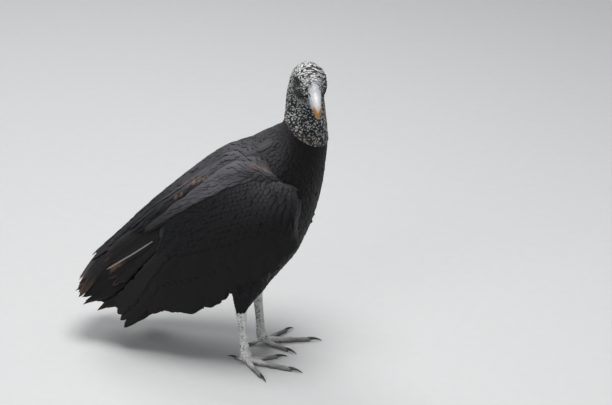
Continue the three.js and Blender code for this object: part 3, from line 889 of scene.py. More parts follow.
def smoothed(points, quads, times):
    """Each point moved half way to the mean of its neighbours along the faces' edges, several times."""
    ends = np.concatenate([quads[:, [0, 1]], quads[:, [1, 2]], quads[:, [2, 3]], quads[:, [3, 0]]])
    count = np.bincount(ends[:, 0], minlength=len(points))[:, None]
    for _ in range(times):
        total = np.zeros_like(points)
        np.add.at(total, ends[:, 0], points[ends[:, 1]])
        points = points * 0.5 + total / np.maximum(count, 1) * 0.5
    return points


def plates(distance, size, width):
    """0 in the creases between a row of horny plates and 1 on them: a ramp of |sin(pi distance / size)|."""
    return ramp(np.abs(np.sin(np.pi * distance / size)), 0.1, width)


def leg_skin(side):
    """Shank, foot and toes in one shell, with small scales all over, rows of broad plates down the shank's
    front and along the top of each toe, and a flat sole where it meets the floor."""
    parts = [closed_tube(tube(at_foot(SHANK, side), 0.93), 40, 24)]
    for _, toe, way in toe_ways(side):
        parts.append(closed_tube(toe_tube(side, toe, way), 40, 16))
    points, quads = remeshed(parts, LEG_CELL)
    points = smoothed(points, quads, 5)
    normals = normals_of(points, quads)
    around = points - foot_middle(side)
    scales = cells(points + 0.35 * waves(points, 9, 21)[:, None], LEG_SCALE, 5)
    crease = ramp(scales, 0.03, 0.26)
    on_toe = np.zeros(len(points))
    for _, toe, way in toe_ways(side):
        reach = around @ way
        beside = np.abs(around @ np.array([-way[1], way[0], 0]))
        here = (reach > 8) & (beside < toe["radius"] + 1.6) & (points[:, 2] < 16)
        plate = plates(reach + 0.25 * beside, TOE_PLATE, 0.4)
        top = ramp(normals[:, 2], -0.05, 0.3)
        crease = np.where(here, plate * top + crease * (1 - top), crease)
        on_toe = np.where(here, 0.2 + 0.8 * ramp(reach, 8, 0.6 * toe["length"]), on_toe)
    front = ramp(normals[:, 0], 0.3, 0.7) * (points[:, 2] > 14)
    crease = crease * (1 - front) + plates(points[:, 2], SHANK_PLATE, 0.35) * front
    points = points + normals * (0.32 * (crease - 0.6) + 0.1 * waves(points, 5, 8))[:, None]
    points[:, 2] = np.where(points[:, 2] < 0.35, 0, points[:, 2])
    # The toes are darker, and darker still in the lowest 7 mm next to the floor.
    grime = np.clip(0.75 * on_toe + 0.35 * ramp(-points[:, 2], -7, -1), 0, 0.85) * (0.8 + 0.2 * crease)
    hidden, leg = ramp(points[:, 2], 86, 92), np.ones(len(points))
    return points, [quads], skin_values(len(points), relief=crease, leg=leg, grime=grime, hidden=hidden)


def skin_values(shape, **given):
    """The skin's attributes for points in a table of a shape: 0 but for those given."""
    keys = ("relief", "pale", "blush", "leg", "grime", "hidden")
    return {key: given.get(key, np.zeros(shape)) for key in keys}


def hidden_shell(points, faces):
    """Flesh that no one sees, with the look of skin under feathers."""
    return points, faces, skin_values(len(points), hidden=np.ones(len(points)))


def thigh_skin(side):
    """The thigh under its feathers, thinner by 4.5 mm, or by 0.35 of its radius where that is less."""
    rows = [[x, y, z, radius - min(4.5, 0.35 * radius)] for x, y, z, radius in THIGH]
    return hidden_shell(*closed_tube(tube(at_foot(rows, side)), 16, 24))


def wing_depth(s, o):
    """Thickness of the folded wing: 3 + 10 sqrt(4w(1 - w)) sqrt(1 - 0.8 s), with w = 0.15 + 0.7 o."""
    w = 0.15 + 0.7 * o
    return 3 + 10 * np.sqrt(4 * w * (1 - w)) * np.sqrt(1 - 0.8 * s)


def wing_arm(side):
    """The flesh inside the folded wing: a closed slab from 3 mm under its outer face to its inner face."""
    s, o = np.meshgrid(np.linspace(0.1, 0.83, 30), np.linspace(0.07, 0.86, 18), indexing="ij")
    outer, _, _, normals = slopes(wing, s, o)
    inward = unit(np.stack([0 * o, 0.25 + 0.75 * o, -0.9 * (1 - o)], -1))
    upper = outer - normals * 3
    lower = outer + inward * (wing_depth(s, o) - 0.5)[..., None]
    return hidden_shell(*on_side(*slab(upper, lower), side))


def lid_rim(sign):
    """A thin wrinkled roll along the edge of the lids: a tube of 0.8 mm round an ellipse on the eyeball."""
    centre, out, front, up = eye_axes(sign)
    rings, sides = 72, 10
    t, a = round_grid(np.arange(rings) * 2 * np.pi / rings, sides)
    wide, tall = LID_WIDE * 1.02 * np.cos(t), LID_TALL * 1.02 * np.sin(t)
    way = unit(out + front * np.tan(wide)[..., None] + up * np.tan(tall)[..., None])
    tangent = unit(np.roll(way, -1, 0) - np.roll(way, 1, 0))
    beside = np.cross(tangent, way)
    thick = 0.78 * (1 + 0.16 * np.sin(9 * t + 1) + 0.1 * np.sin(23 * t))[..., None]
    ring = way * np.sin(a)[..., None] + beside * np.cos(a)[..., None]
    points = (centre + way * (EYE_RADIUS + 0.25) + ring * thick).reshape(-1, 3)
    at = np.arange(rings * sides).reshape(rings, sides)
    along, around = np.roll(at, -1, 0), np.roll(at, -1, 1)
    quads = np.stack([at, around, np.roll(along, -1, 1), along], -1).reshape(-1, 4)
    return points, [quads], skin_values(len(points), relief=0.3 + 0.2 * np.sin(23 * t).ravel())


def skin():
    """All the skin as one piece, which stands for the head, neck, trunk, thighs, shanks and toes."""
    shells = [body_skin(), *(lid_rim(sign) for sign in SIDES.values())]
    for side in SIDES:
        shells += [leg_skin(side), thigh_skin(side), wing_arm(side)]
    piece = make_mesh("skin", *joined(shells), joined_values([values for _, _, values in shells]))
    legs = [f"{part}_{side}" for side in SIDES for part in ("thigh", "shank", *(f"toe_{t}" for t in TOES))]
    settle(piece, skin_material(), "bare_skin", "head", "neck", "trunk", *legs)


# ---- Bill, eyes and claws ----


def bill_piece(name, rows, fullness, carve):
    """A half of the bill: oval sections on a fine grid, shaped further by carve. Its attribute reach is the
    share from root to tip, further on along the flanks near the tip, and less far near the root."""
    sides, rings = 96, 110
    u, a = round_grid(np.linspace(0, 1, rings), sides)
    points, _, _, normals = slopes(sections(rows, **fullness), u, a)
    points, hollow = carve(points, normals, a)
    flank = np.sin(a) ** 2
    reach = u + 0.1 * (1 - np.cos(a)) * u - 0.04
    reach = reach + 0.14 * flank * ramp(u, 0.35, 0.7) - 0.08 * flank * ramp(-u, -0.45, -0.1)
    start, end = points[0].mean(0), points[-1].mean(0)
    end = end + unit(end - points[-2].mean(0)) * 0.5
    points = np.concatenate([points.reshape(-1, 3), [start, end]])
    values = dict(reach=np.append(np.clip(reach, 0, 1), [0, 1]), hollow=np.append(hollow, [0, 0]))
    return make_mesh(name, points, ring_faces(rings, sides), values)


def carve_upper(points, normals, a):
    """Upper half: a cere swollen to 64 mm ahead, a slit of a nostril in each side, a ridge along the cutting
    edge, and a hook that narrows to its point."""
    forward, left, height = head_frame(points)
    along_edge = forward + 0.35 * (height - 420)
    rise = 0.5 * (1 - ramp(along_edge, 62.5, 64.5)) - 3.2 * (1 - ramp(forward, 46, 57.5))
    rise += 0.22 * waves(points, 3.6, 31) * (1 - ramp(forward, 54, 62))
    ahead, above, lean = forward - 59.8, height - 421.2, 0.62  # from the slit's middle; it slopes down ahead
    slit = np.sqrt(((ahead - above * lean) / 4.6) ** 2 + ((ahead * lean + above) / 1.75) ** 2)
    side = ramp(np.abs(left), 3.0, 4.6)
    rise += side * (-5.0 * ramp(-slit, -1.0, -0.3) + 0.35 * bump(slit, 1.3, 0.3))
    lower = ramp(-np.cos(a), -0.1, 0.5)
    rise += 0.3 * bump(np.cos(a), -0.28, 0.13) * ramp(forward, 52, 58) - 0.25 * bump(np.cos(a), 0.05, 0.1)
    rise += 0.12 * lower * waves(points, 3.5, 33)
    # The nostril's slit is darkened as painted shade.
    return points + normals * rise[..., None], side * ramp(-slit, -1.1, -0.75)


def carve_lower(points, normals, a):
    """Lower half: faintly ribbed, with its cutting edge tucked under the upper one."""
    rise = 0.15 * waves(points, 4, 35) - 0.3 * ramp(np.cos(a), 0.5, 0.9)
    # Painted shade along the top of the lower half, where it tucks under the upper one.
    return points + normals * rise[..., None], 0.35 * ramp(np.cos(a), 0.55, 0.8)


def bill():
    """The bill's halves, fullest along the cutting edges where they meet."""
    horn = bill_material()
    upper = bill_piece("upper_bill_horn", UPPER_BILL, {"lower": 0.5}, carve_upper)
    lower = bill_piece("lower_bill_horn", LOWER_BILL, {"upper": 0.5}, carve_lower)
    settle(upper, horn, "bill_horn", "bill_upper")
    settle(lower, horn, "bill_horn", "bill_lower")


def eyes():
    """Each eye is a ball whose front swells by 0.5 mm over the iris. ring is the angle from its middle."""
    wet = eye_material()
    sides, rings, first = 64, 40, 0.04
    b, a = round_grid(np.linspace(first, np.pi - first, rings), sides)
    for side, sign in SIDES.items():
        centre, out, front, up = eye_axes(sign)
        way = out * np.cos(b)[..., None] - sign * front * (np.sin(b) * np.cos(a))[..., None]
        way = way + up * (np.sin(b) * np.sin(a))[..., None]
        radius = EYE_RADIUS - 0.35 + 0.5 * ramp(-b, -0.95, 0.0)
        points = centre + way * radius[..., None]
        poles = centre + out * np.array([[radius[0, 0]], [-radius[-1, 0]]])
        ring = np.append((b / (np.pi / 2)).ravel(), [0, 2])
        points = np.concatenate([points.reshape(-1, 3), poles])
        piece = make_mesh(f"{side}_eyeball", points, ring_faces(rings, sides), dict(ring=ring))
        settle(piece, wet, "eye", f"eye_{side}")


def claws():
    """Each claw is a tube along the rest of its toe, from 3 mm inside the toe's end. Its radius falls with
    t^1.3, and its middle line rises and then curves down to the floor. The claws of a foot are one piece."""
    horn = claw_material()
    t = np.linspace(0, 1, 14)
    for side in SIDES:
        parts = []
        for _, toe, way in toe_ways(side):
            start = toe["length"] * (1 - toe["claw"]) - 3
            reach = start + (toe["length"] - start) * t
            size = 0.62 * toe["radius"]
            height = size * (1.25 + 1.3 * t - 2.45 * t**2) + 0.25
            rows = along_toe(side, way, reach, height, size * (0.95 - 0.8 * t**1.3))
            points, faces = closed_tube(tube(rows, 0.82), 26, 14)
            points[:, 2] = np.maximum(points[:, 2], 0.02)
            parts.append((points, faces))
        piece = make_mesh(f"claws_{side}", *joined(parts))
        settle(piece, horn, "claw_horn", *(f"claw_{name}_{side}" for name in TOES))


# ---- Feathers ----
# Each feather is a thin closed shell: a crowned upper side on a grid, and a flat underside between its edges.
# SMALL, MIDDLING and LONG are such grids: shares of the length, and shares of half the width.

SMALL = ([0, 0.25, 0.48, 0.66, 0.8, 0.9, 0.965, 1], np.array([-1, -0.5, 0, 0.5, 1.0]))
MIDDLING = (
    [*np.linspace(0, 0.84, 11), 0.89, 0.93, 0.96, 0.985, 1],
    np.array([-1, -0.55, -0.12, 0.12, 0.55, 1]),
)
LONG = (
    [*np.linspace(0, 0.86, 27), 0.89, 0.915, 0.94, 0.96, 0.976, 0.99, 1],
    np.array([-1, -0.6, -0.2, -0.1, 0.1, 0.2, 0.6, 1]),
)


def leaf_outline(t):
    """Half width of a body feather: it rises as the square root of t to 1 at 0.55, and then closes in a
    round tip, as sqrt(1 - w^2.4) over the rest."""
    rise = np.sqrt(np.minimum(t / 0.55, 1))
    fall = np.sqrt(1 - np.clip((t - 0.55) / 0.45, 0, 1) ** 2.4)
    return np.maximum(rise * fall, 0.12)


def quill_outline(t, blunt):
    """Half width of a long feather: quickly full, a little wider towards its end, and from pointed there at a
    bluntness of 1 to square at 5."""
    rise = np.minimum((t + 0.02) / 0.14, 1) ** 0.5
    closing = np.interp(blunt, [1, 2.4], [0.85, 0.45])
    fall = (1 - np.clip((t - 0.76) / 0.24, 0, 1) ** blunt) ** closing
    return np.maximum(rise * fall * (0.86 + 0.14 * t), 0.07)


def heading(way, along_u, normal, skew):
    """Unit direction on a surface: along_u times a way of 1 or -1, or a way in space laid on the surface.
    It is then turned about the normal by the skew."""
    ahead = unit(along_u) * way if np.isscalar(way) else unit(way - normal * dot(way, normal))
    return ahead * np.cos(skew)[:, None] + np.cross(normal, ahead) * np.sin(skew)[:, None]


def length_along(surface, u, v):
    """Length along a surface from u to 1 at each v."""
    shares = u + (1 - u) * np.linspace(0, 1, 40)[:, None]
    return np.linalg.norm(np.diff(surface(shares, v + 0 * shares), axis=0), axis=-1).sum(0)


def feather_faces(rows, across):
    """Faces of one feather and, on a patch 1 wide, the place of each of their corners. The four tables are
    its upper side, its underside, and its root and tip ends. On the patch the upper side lies left and the
    underside right, with the ends in the gap between them."""
    at = np.arange(rows * across).reshape(rows, across)
    top = grid_quads(at)
    under = np.stack([at[:-1, 0], at[:-1, -1], at[1:, -1], at[1:, 0]], -1)
    upper_wide, under_from = 0.62, 0.68
    opened = np.stack(np.meshgrid(np.linspace(0, upper_wide, across), np.linspace(0, 1, rows)), -1)
    opened = opened.reshape(-1, 2)
    below = opened[under]
    below[..., 0] = [under_from, 1, 1, under_from]
    ends = np.linspace(0, 1, across)
    arch = np.stack([0.63 + 0.04 * ends, 0.05 * np.sin(np.pi * ends)], -1)[None]
    return [top, under, at[None, 0], at[None, -1, ::-1]], [opened[top], below, arch, arch + [0, 0.9]]


def plumes(surface, u, v, way, length, half, make, lift, seed, roll=0.0, crown=0.03, sweep=0.0, skew=0.05,
           blunt=None, lop=0.0, tone=1.0, tip_wear=0.0, worn_from=0.7, shaft=0.0, ragged=0.0,
           vary=0.18, patch=None, size=PATCH):
    """Feathers that grow from u and v and lie along a surface, as points, faces, attributes and places of the
    faces' corners on the map.

    Over shares t of its length, each feather's shaft walks over the surface, turned from its way by a chance
    skew and a sweep that grows with t. Its vane reaches half its width times the outline to either side, and
    is lop wider on one side. The height over the surface is lift from root to tip, plus roll across, plus
    crown (1 - across^2), plus a shaft's ridge.

    make is its grid. blunt is the shape of a long feather's tip, and None means a body feather.
    tone is its brightness, its own tone together with any painted sheen of light, by chance up to vary more
    or less.
    Its edge is torn by up to ragged, and it is worn by tip_wear towards the tip, beginning at worn_from. Its
    patch on the map is size wide."""
    stations, across = make
    rng = np.random.default_rng(seed)
    count = len(u)
    u, v, length, half = (np.broadcast_to(np.asarray(x, float), count).copy() for x in (u, v, length, half))
    low, high, roll, tone, sweep = (np.broadcast_to(x, count) for x in (*lift, roll, tone, sweep))
    turn = rng.normal(0, skew, count)
    chance = rng.uniform(0, 1, count)
    rise = rng.normal(0, 0.12, count) * (high - low)
    roots = np.stack([u, v], -1) if patch is None else patch
    points, vane, worn = [], [], []
    for k, t in enumerate(stations):
        shaft_at, along_u, along_v, normal = slopes(surface, u, v)
        ahead = heading(way, along_u, normal, turn + sweep * t)
        beside = np.cross(normal, ahead)
        du, dv = steps_for(beside, along_u, along_v)
        outline = leaf_outline(t) if blunt is None else quill_outline(t, blunt)
        outline = np.broadcast_to(outline, count)
        torn = 1 - ragged * rng.uniform(0, 1, (count, 2)) ** 6
        y = (half * outline)[:, None] * np.where(across > 0, across * (1 + lop), across * (1 - lop))
        y = y * np.where(across > 0, torn[:, :1], torn[:, 1:])
        flat = shaft_at[:, None] + beside[:, None] * y[..., None]
        bend = surface(u[:, None] + y * du[:, None], v[:, None] + y * dv[:, None]) - flat
        most = 0.5 * np.abs(y) / np.maximum(np.linalg.norm(bend, axis=-1), 1e-6)
        there = flat + bend * np.minimum(most, 1)[..., None]
        straight = there[:, :1] + (there[:, -1:] - there[:, :1]) * ((across + 1) / 2)[:, None]
        dome = crown * (half * outline)[:, None] * (1 - across**2)
        dome = dome + shaft * (1 - 0.8 * t) * np.exp(-((y / 1.1) ** 2))
        height = (low + (high - low) * t**1.15 + rise * t)[:, None] + roll[:, None] * y + dome
        sunk = dot(there - straight, normal[:, None])[..., 0]
        height = height + np.maximum(0.12 * (1 - across**2) - sunk - dome, 0)  # clear of the flat underside
        points.append(there + normal[:, None] * height[..., None])
        vane.append(np.stack([t * length[:, None] * MM + 0 * y, y * MM, chance[:, None] + 0 * y], -1))
        worn.append(tip_wear * ramp(t, worn_from, 1.0) * (0.4 + 0.6 * across**2) + 0 * y)
        if k + 1 < len(stations):
            step = length * (stations[k + 1] - t)
            du, dv = steps_for(ahead, along_u, along_v)
            u, v = u + du * step, v + dv * step
    tables, corners = feather_faces(len(stations), len(across))
    each = len(stations) * len(across)
    starts = np.arange(count)[:, None, None] * each
    faces = [(table[None] + starts).reshape(-1, table.shape[1]) for table in tables]
    maps = [(roots[:, None, None] + size * corner).reshape(-1, corner.shape[1], 2) for corner in corners]
    shades = np.repeat(tone * rng.uniform(1 - vary, 1 + vary, count), each)
    values = dict(vane=np.stack(vane, 1).reshape(-1, 3), wear=np.stack(worn, 1).ravel(), tone=shades)
    return np.stack(points, 1).reshape(-1, 3), faces, values, maps


# Places where old feathers have faded to rust, in x, y and z, how far each reaches, and how strong it is.
RUST = [
    [-48, -46, 282, 3, 0.5],
    [-54, -45, 278, 3.5, 0.7],
    [-62, -43, 274, 3.5, 0.8],
    [-71, -41, 269, 3.5, 0.8],
    [-79, -41, 263, 3.5, 0.7],
    [-76, -33, 270, 3.5, 0.5],
    [-86, -30, 261, 4, 0.6],
    [-88, -44, 250, 3.5, 0.6],
    [-97, -41, 244, 4, 0.6],
    [50, -58, 306, 7, 0.2],
    [41, -59, 310, 7, 0.28],
    [31, -61, 311, 7, 0.32],
    [21, -63, 309, 7, 0.28],
    [10, -64, 305, 7, 0.15],
]


def rusty(points):
    """Wear near the rusty places: the sum of a bump for each."""
    total = 0
    for x, y, z, reach, strength in RUST:
        far = np.linalg.norm((points - [x, y, z]) * [1, 0.5, 1], axis=-1)
        total = total + strength * bump(far, 0, reach)
    return total


def feather_piece(name, flocks, slot, nodes=(), side="right"):
    """One piece of several flocks of feathers. Only their upper sides, the first of every four tables of
    faces, are smooth, and the left wing has no rusty feathers."""
    parts = []
    for points, faces, values, maps in flocks:
        if side == "right":
            values["wear"] = np.clip(values["wear"] + rusty(points), 0, 1)
        else:
            maps = [table[:, ::-1] for table in maps]
        parts.append((*on_side(points, faces, side), values, maps))
    points, faces = joined(parts)
    uv = np.concatenate([table.reshape(-1, 2) for part in parts for table in part[3]])
    flat = {k for k in range(len(faces)) if k % 4}
    piece = make_mesh(name, points, faces, joined_values([part[2] for part in parts]), flat, uv)
    settle(piece, flight_plumage if slot == "flight_feathers" else body_plumage, slot, *nodes)


def feather_size(below):
    """Spacing of the trunk's feathers: 2.3 mm at the ruff, and up to 8 mm with the distance below it."""
    return 2.3 + 5.7 * (1 - np.exp(-below / 60))


def full_body(u, a):
    """The trunk, raised where its feathers lie against the upper edges of the folded wings, by the greatest
    of height exp(-(distance / 17)^2) over points of the edges, where height is 1 to 8.5 mm, front to rear."""
    points = body(u, a)
    shares = np.linspace(0.05, 0.5, 24)
    height = np.interp(shares, [0.05, 0.2, 0.36, 0.5], [1, 1.5, 7, 8.5])
    edge = wing(shares, 0.0)
    rise = np.zeros(points.shape[:-1])
    for line in (edge, to_left(edge)):
        far = np.linalg.norm(points[..., None, :] - line, axis=-1)
        rise = np.maximum(rise, (height * bump(far, 0, 17)).max(-1))
    outward = unit(points - (body(u, 0 * a) + body(u, 0 * a + np.pi)) / 2)
    return points + outward * rise[..., None]


def trunk_roots():
    """Roots of the trunk's feathers, as u, a, their spacing and the distance below the ruff.

    Down each of 180 meridians, q is the sum of the steps over the feather size. Rows lie where q is a whole
    number and 0.15, and along a row the feathers stand at even steps of 1.08 times their size, every other
    row half a step along."""
    angles = np.linspace(0, 2 * np.pi, 181)
    shares = np.linspace(0.56, 0.015, 700)
    u, a = np.meshgrid(shares, angles, indexing="ij")
    points = body(u, a)
    started = above_ruff(points) < 2.0
    steps = np.linalg.norm(np.diff(points, axis=0, prepend=points[:1]), axis=-1) * started
    below = np.cumsum(steps, 0)
    size = feather_size(below) * (1 - 0.12 * ramp(-np.cos(a), 0.2, 0.8))
    q = np.cumsum(steps / size, 0)
    rng = np.random.default_rng(71)
    found = []
    for number in range(int(q[-1].max())):
        level = number + 0.15
        kept = q[-1] > level
        at_u, at_below, at_size = (
            np.array([np.interp(level, q[:, k], grid[:, k]) for k in range(len(angles))])
            for grid in (u, below, size)
        )
        course = body(at_u, angles)
        paces = np.linalg.norm(np.diff(course, axis=0), axis=-1) / ((at_size[1:] + at_size[:-1]) / 2)
        far = np.concatenate([[0], np.cumsum(paces)])
        count = int(round(far[-1] / 1.08))
        at = (np.arange(count) + 0.5 * (number % 2) + rng.normal(0, 0.12, count)) * far[-1] / count
        angle = np.interp(at % far[-1], far, angles)
        ok = np.interp(angle, angles, kept.astype(float)) > 0.99
        row_u = np.interp(angle, angles, at_u) + rng.normal(0, 0.0012, count)
        row = [row_u, angle, np.interp(angle, angles, at_size), np.interp(angle, angles, at_below)]
        found.append(np.stack(row)[:, ok])
    return np.concatenate(found, 1)


def under_wing(points):
    """Whether points are covered by a folded wing, well inside its outline."""
    hidden = np.zeros(len(points), bool)
    for moved in (points, (points - LEFT_WING_SHIFT) * [1, -1, 1]):
        s, o = spot(wing, moved[:, 0], moved[:, 2], (0.05, 0.98), (0.02, 0.98))
        inside = (s > 0.15) & (s < 0.88) & (o > 0.16) & (o < 0.84)
        miss = np.linalg.norm(wing(s, o)[:, ::2] - moved[:, ::2], axis=-1)
        hidden |= inside & (miss < 3) & (moved[:, 1] < -5)
    return hidden


def trunk_feathers():
    """The trunk's feathers that no wing covers, as three named flocks. The mantle's are painted the lightest,
    as a sheen of light from above on the trunk's top.
    """
    u, a, size, below = trunk_roots()
    seen = ~under_wing(body(u, a))
    u, a, size, below = u[seen], a[seen], size[seen], below[seen]
    rng = np.random.default_rng(72)
    # Painted sheen: the feathers on top of the trunk, and more so towards its rear, are painted lighter where
    # light from above catches them.
    mantle = ramp(np.cos(a), 0.0, 0.6)
    tone = 0.4 + mantle * (1.1 + 1.6 * ramp(-u, -0.33, -0.24))
    patch = np.stack([(a / (2 * np.pi)) % 1 * 0.99, u * 2.1], -1)
    ruff, above = below < 34, np.cos(a) > 0  # the ruff is 34 mm wide
    groups = {"ruff_feathers": ruff, "mantle_feathers": ~ruff & above, "breast_feathers": ~ruff & ~above}
    for seed, (name, group) in enumerate(groups.items(), 100):
        long = size[group] * (3.3 + rng.normal(0, 0.25, group.sum()))
        lift = (-0.045 * long, 0.08 + 0.003 * long)
        yield name, plumes(full_body, u[group], a[group], -1, long, 0.8 * size[group], SMALL, lift, seed,
                           skew=0.1, tone=tone[group], vary=0.07, patch=patch[group])


def offset_rows(shares, counts, phase=0.0):
    """Roots of feathers in rows: at each share a number of them, evenly over 0 to 1 from a phase on, and
    every other row half a step along."""
    along = np.repeat(shares, counts)
    beside = [(np.arange(count) + phase + 0.5 * (row % 2)) / count for row, count in enumerate(counts)]
    return along, np.concatenate(beside)


def thigh_feathers(side):
    """Rows of small feathers round the thigh, shorter and fewer towards the ankle."""
    shares = np.linspace(0.04, 0.93, 17)
    t, a = offset_rows(shares, np.round(np.interp(shares, [0, 1], [27, 12])).astype(int))
    a = a * 2 * np.pi
    rng = np.random.default_rng(81 + (side == "left"))
    t, a = t + rng.normal(0, 0.006, len(t)), a + rng.normal(0, 0.04, len(a))
    long = np.interp(t, [0, 1], [21, 11])
    patch = np.stack([a / (2 * np.pi) % 1 * 0.99, t * 0.99], -1)
    lift = (-0.12 * long, 0.2 + 0.05 * long)
    return plumes(tube(at_foot(THIGH, side)), t, a, 1, long, 0.3 * long, SMALL, lift, 82,
                  crown=0.12, skew=0.12, tone=0.45, patch=patch)


def spread(values, count):
    """Values at equal shares of a feather row, read between those given from its front to its rear."""
    return np.interp((np.arange(count) + 0.5) / count, np.linspace(0, 1, len(values)), values)


def evenly(course, count, phase):
    """Points at even steps along a bent line of x and z, the first of them a phase of a step along it."""
    course = np.array(course, float)
    far = np.concatenate([[0], np.cumsum(np.linalg.norm(np.diff(course, axis=0), axis=1))])
    at = (np.arange(count) + phase) / count * far[-1]
    return np.stack([np.interp(at, far, column) for column in course.T], -1)


# Rows of feathers on the folded wing. Each has the line of its tips in x and z, front to rear, how many there
# are, and then, from front to rear, their slope in degrees, their length and half their width. Of the coverts
# and the cape, only the lines of the lowest and of the highest tips are given, and for the cape its ridge.
SECONDARIES = (
    [[72, 190], [50, 166], [10, 139], [-14, 124], [-33, 104], [-53, 90], [-78, 79], [-101, 80],
     [-121, 76], [-128, 70], [-148, 63], [-163, 54], [-175, 38], [-178, 37], [-186, 52], [-192, 70]],
    32, [80, 78, 76, 72, 67, 61, 56, 51], [90, 125, 150, 165, 170, 168, 160], [13, 15, 16, 16, 15, 14, 13],
)
GREATER_COVERTS = (
    [[84, 212], [54, 200], [10, 176], [-30, 158], [-75, 140], [-112, 126], [-140, 120]],
    22, [80, 77, 74, 68, 61, 54], [58, 72, 78, 80], [12, 14, 14, 14],
)
COVERT_LOW = [[90, 226], [62, 230], [20, 213], [-20, 196], [-60, 181], [-95, 168], [-122, 162]]
COVERT_HIGH = [[88, 282], [66, 292], [24, 290], [-20, 272], [-52, 250], [-80, 228], [-106, 208]]
TERTIALS = (
    [[-194, 98], [-202, 109], [-208, 121], [-212, 133], [-213, 145], [-210, 154]],
    9, [46, 44, 42, 41], [118, 124, 118, 104], [8, 9, 9, 8.5],
)
CAPE_LOW = [
    [52, 293], [36, 296], [16, 295], [6, 290], [-10, 281], [-21, 276], [-37, 266],
    [-54, 256], [-70, 244], [-80, 235], [-94, 226], [-108, 216], [-125, 201], [-147, 181],
]
CAPE_RIDGE = [
    [40, 309], [18, 311], [0, 311], [-12, 307], [-26, 300], [-36, 290], [-48, 278],
    [-61, 267], [-74, 257], [-84, 246], [-95, 234], [-108, 223], [-133, 199], [-153, 178],
]
CAPE_HIGH = [[22, 319], [-14, 315], [-50, 291], [-88, 260], [-126, 228], [-170, 190], [-203, 158]]
# Painted sheen: brightness of the cape's rows behind its ridge, where light from above catches them, from the
# ridge up to the back, each from front to rear.
CAPE_BACK_SHEEN = [
    [2.6, 2.6, 0.9, 0.3, 0.3, 0.3],
    [3, 3.4, 1.6, 0.5, 0.3, 0.3],
    [3, 3.6, 2.8, 0.9, 0.3, 0.3],
    [3, 3.6, 3.6, 1.8, 0.4, 0.3],
    [3, 3.6, 3.8, 2.4, 0.5, 0.3],
]

# The fan of long feathers that shows behind the folded wing, over the tail's side: three rows from root to
# tips, each as three points from its upper to its lower edge.
FAN = [
    [-118, -34, 192, -124, -43, 168, -128, -49, 146],
    [-186, -34, 141, -178, -44, 113, -170, -50, 90],
    [-252, -35, 88, -238, -45, 66, -206, -47, 60],
]
# Its feathers: where each lies from the upper to the lower edge, its share of the fan's length, and its rise.
FAN_SPREAD = [
    [0.02, 0.97, 0.6],
    [0.16, 1.03, 0.3],
    [0.32, 0.96, 0],
    [0.47, 1.02, -0.4],
    [0.62, 0.93, -0.8],
    [0.78, 1.03, -1.2],
    [0.94, 0.95, -1.5],
]
# The wing's longest feathers: where each lies across WING_TIP, and its share of that surface's length.
PRIMARIES = [[-0.5, 0.84], [-0.22, 0.93], [0.08, 1.02], [0.36, 0.99], [0.62, 0.9], [0.84, 0.8]]
BACK_RISE = [7, 6, 5, 5, 4, 4, 4]  # of the back's middle over the wings' inner edges, shoulders to tail


def wing_row(row, make, lift, seed, phase=0.5, **more):
    """A row of feathers on the wing. Seen from the side, each root lies its length back up the slope from
    its tip. The shaft then keeps to the surface, in the direction of the line between the two."""
    course, count, angle, length, half = row
    rng = np.random.default_rng(seed)
    tips = evenly(course, count, phase) + rng.normal(0, 0.035, (count, 2)) * spread(half, count)[:, None]
    slope = np.radians(spread(angle, count) + rng.normal(0, 1.2, count))
    long = spread(length, count) * (1 + rng.normal(0, 0.025, count))
    roots = tips + (0.97 * long)[:, None] * np.stack([np.cos(slope), np.sin(slope)], -1)
    s, o = spot(wing, roots[:, 0], roots[:, 1])
    s = np.clip(s, 0.02, 0.97)
    o = np.clip(o, np.interp(s, [0.22, 0.32], [0.12, 0.03]), 0.97)
    ends = wing(*spot(wing, tips[:, 0], tips[:, 1]))
    course = np.stack([tips[:, 0], ends[:, 1], tips[:, 1]], -1) - wing(s, o)
    long, way = np.linalg.norm(course, axis=-1) * 1.01, unit(course)
    return plumes(wing, s, o, way, long, spread(half, count), make, lift, seed, skew=0.015, **more)


def covert_rows(seed):
    """Twelve rows of coverts between the cape and the greater coverts, smaller towards the shoulder, and
    painted lighter there as a sheen of light on the wrist's top. Along a row, 235 mm long, they stand 1.15 of
    half their width apart."""
    low, high = np.array(COVERT_LOW, float), np.array(COVERT_HIGH, float)
    for k, share in enumerate(np.linspace(0, 1, 12)):
        half, long = 10 - 4.5 * share, 46 - 22 * share
        count = int(235 / (1.15 * half))
        # Painted sheen: the front of the upper rows is painted lighter, where light from above catches the
        # wrist.
        tone = 0.38 + spread([1.6, 2.8, 1.3, 0.25, 0.1, 0.1], count) * share**1.5
        course = low + (high - low) * share**0.8
        row = (course, count, [80, 74, 66, 58, 52], [long * 0.75, long], [half * 0.8, half])
        yield wing_row(row, SMALL, (-0.9, 0.01 * k), seed + k, crown=0.02, roll=0.006, vary=0.06, tone=tone)


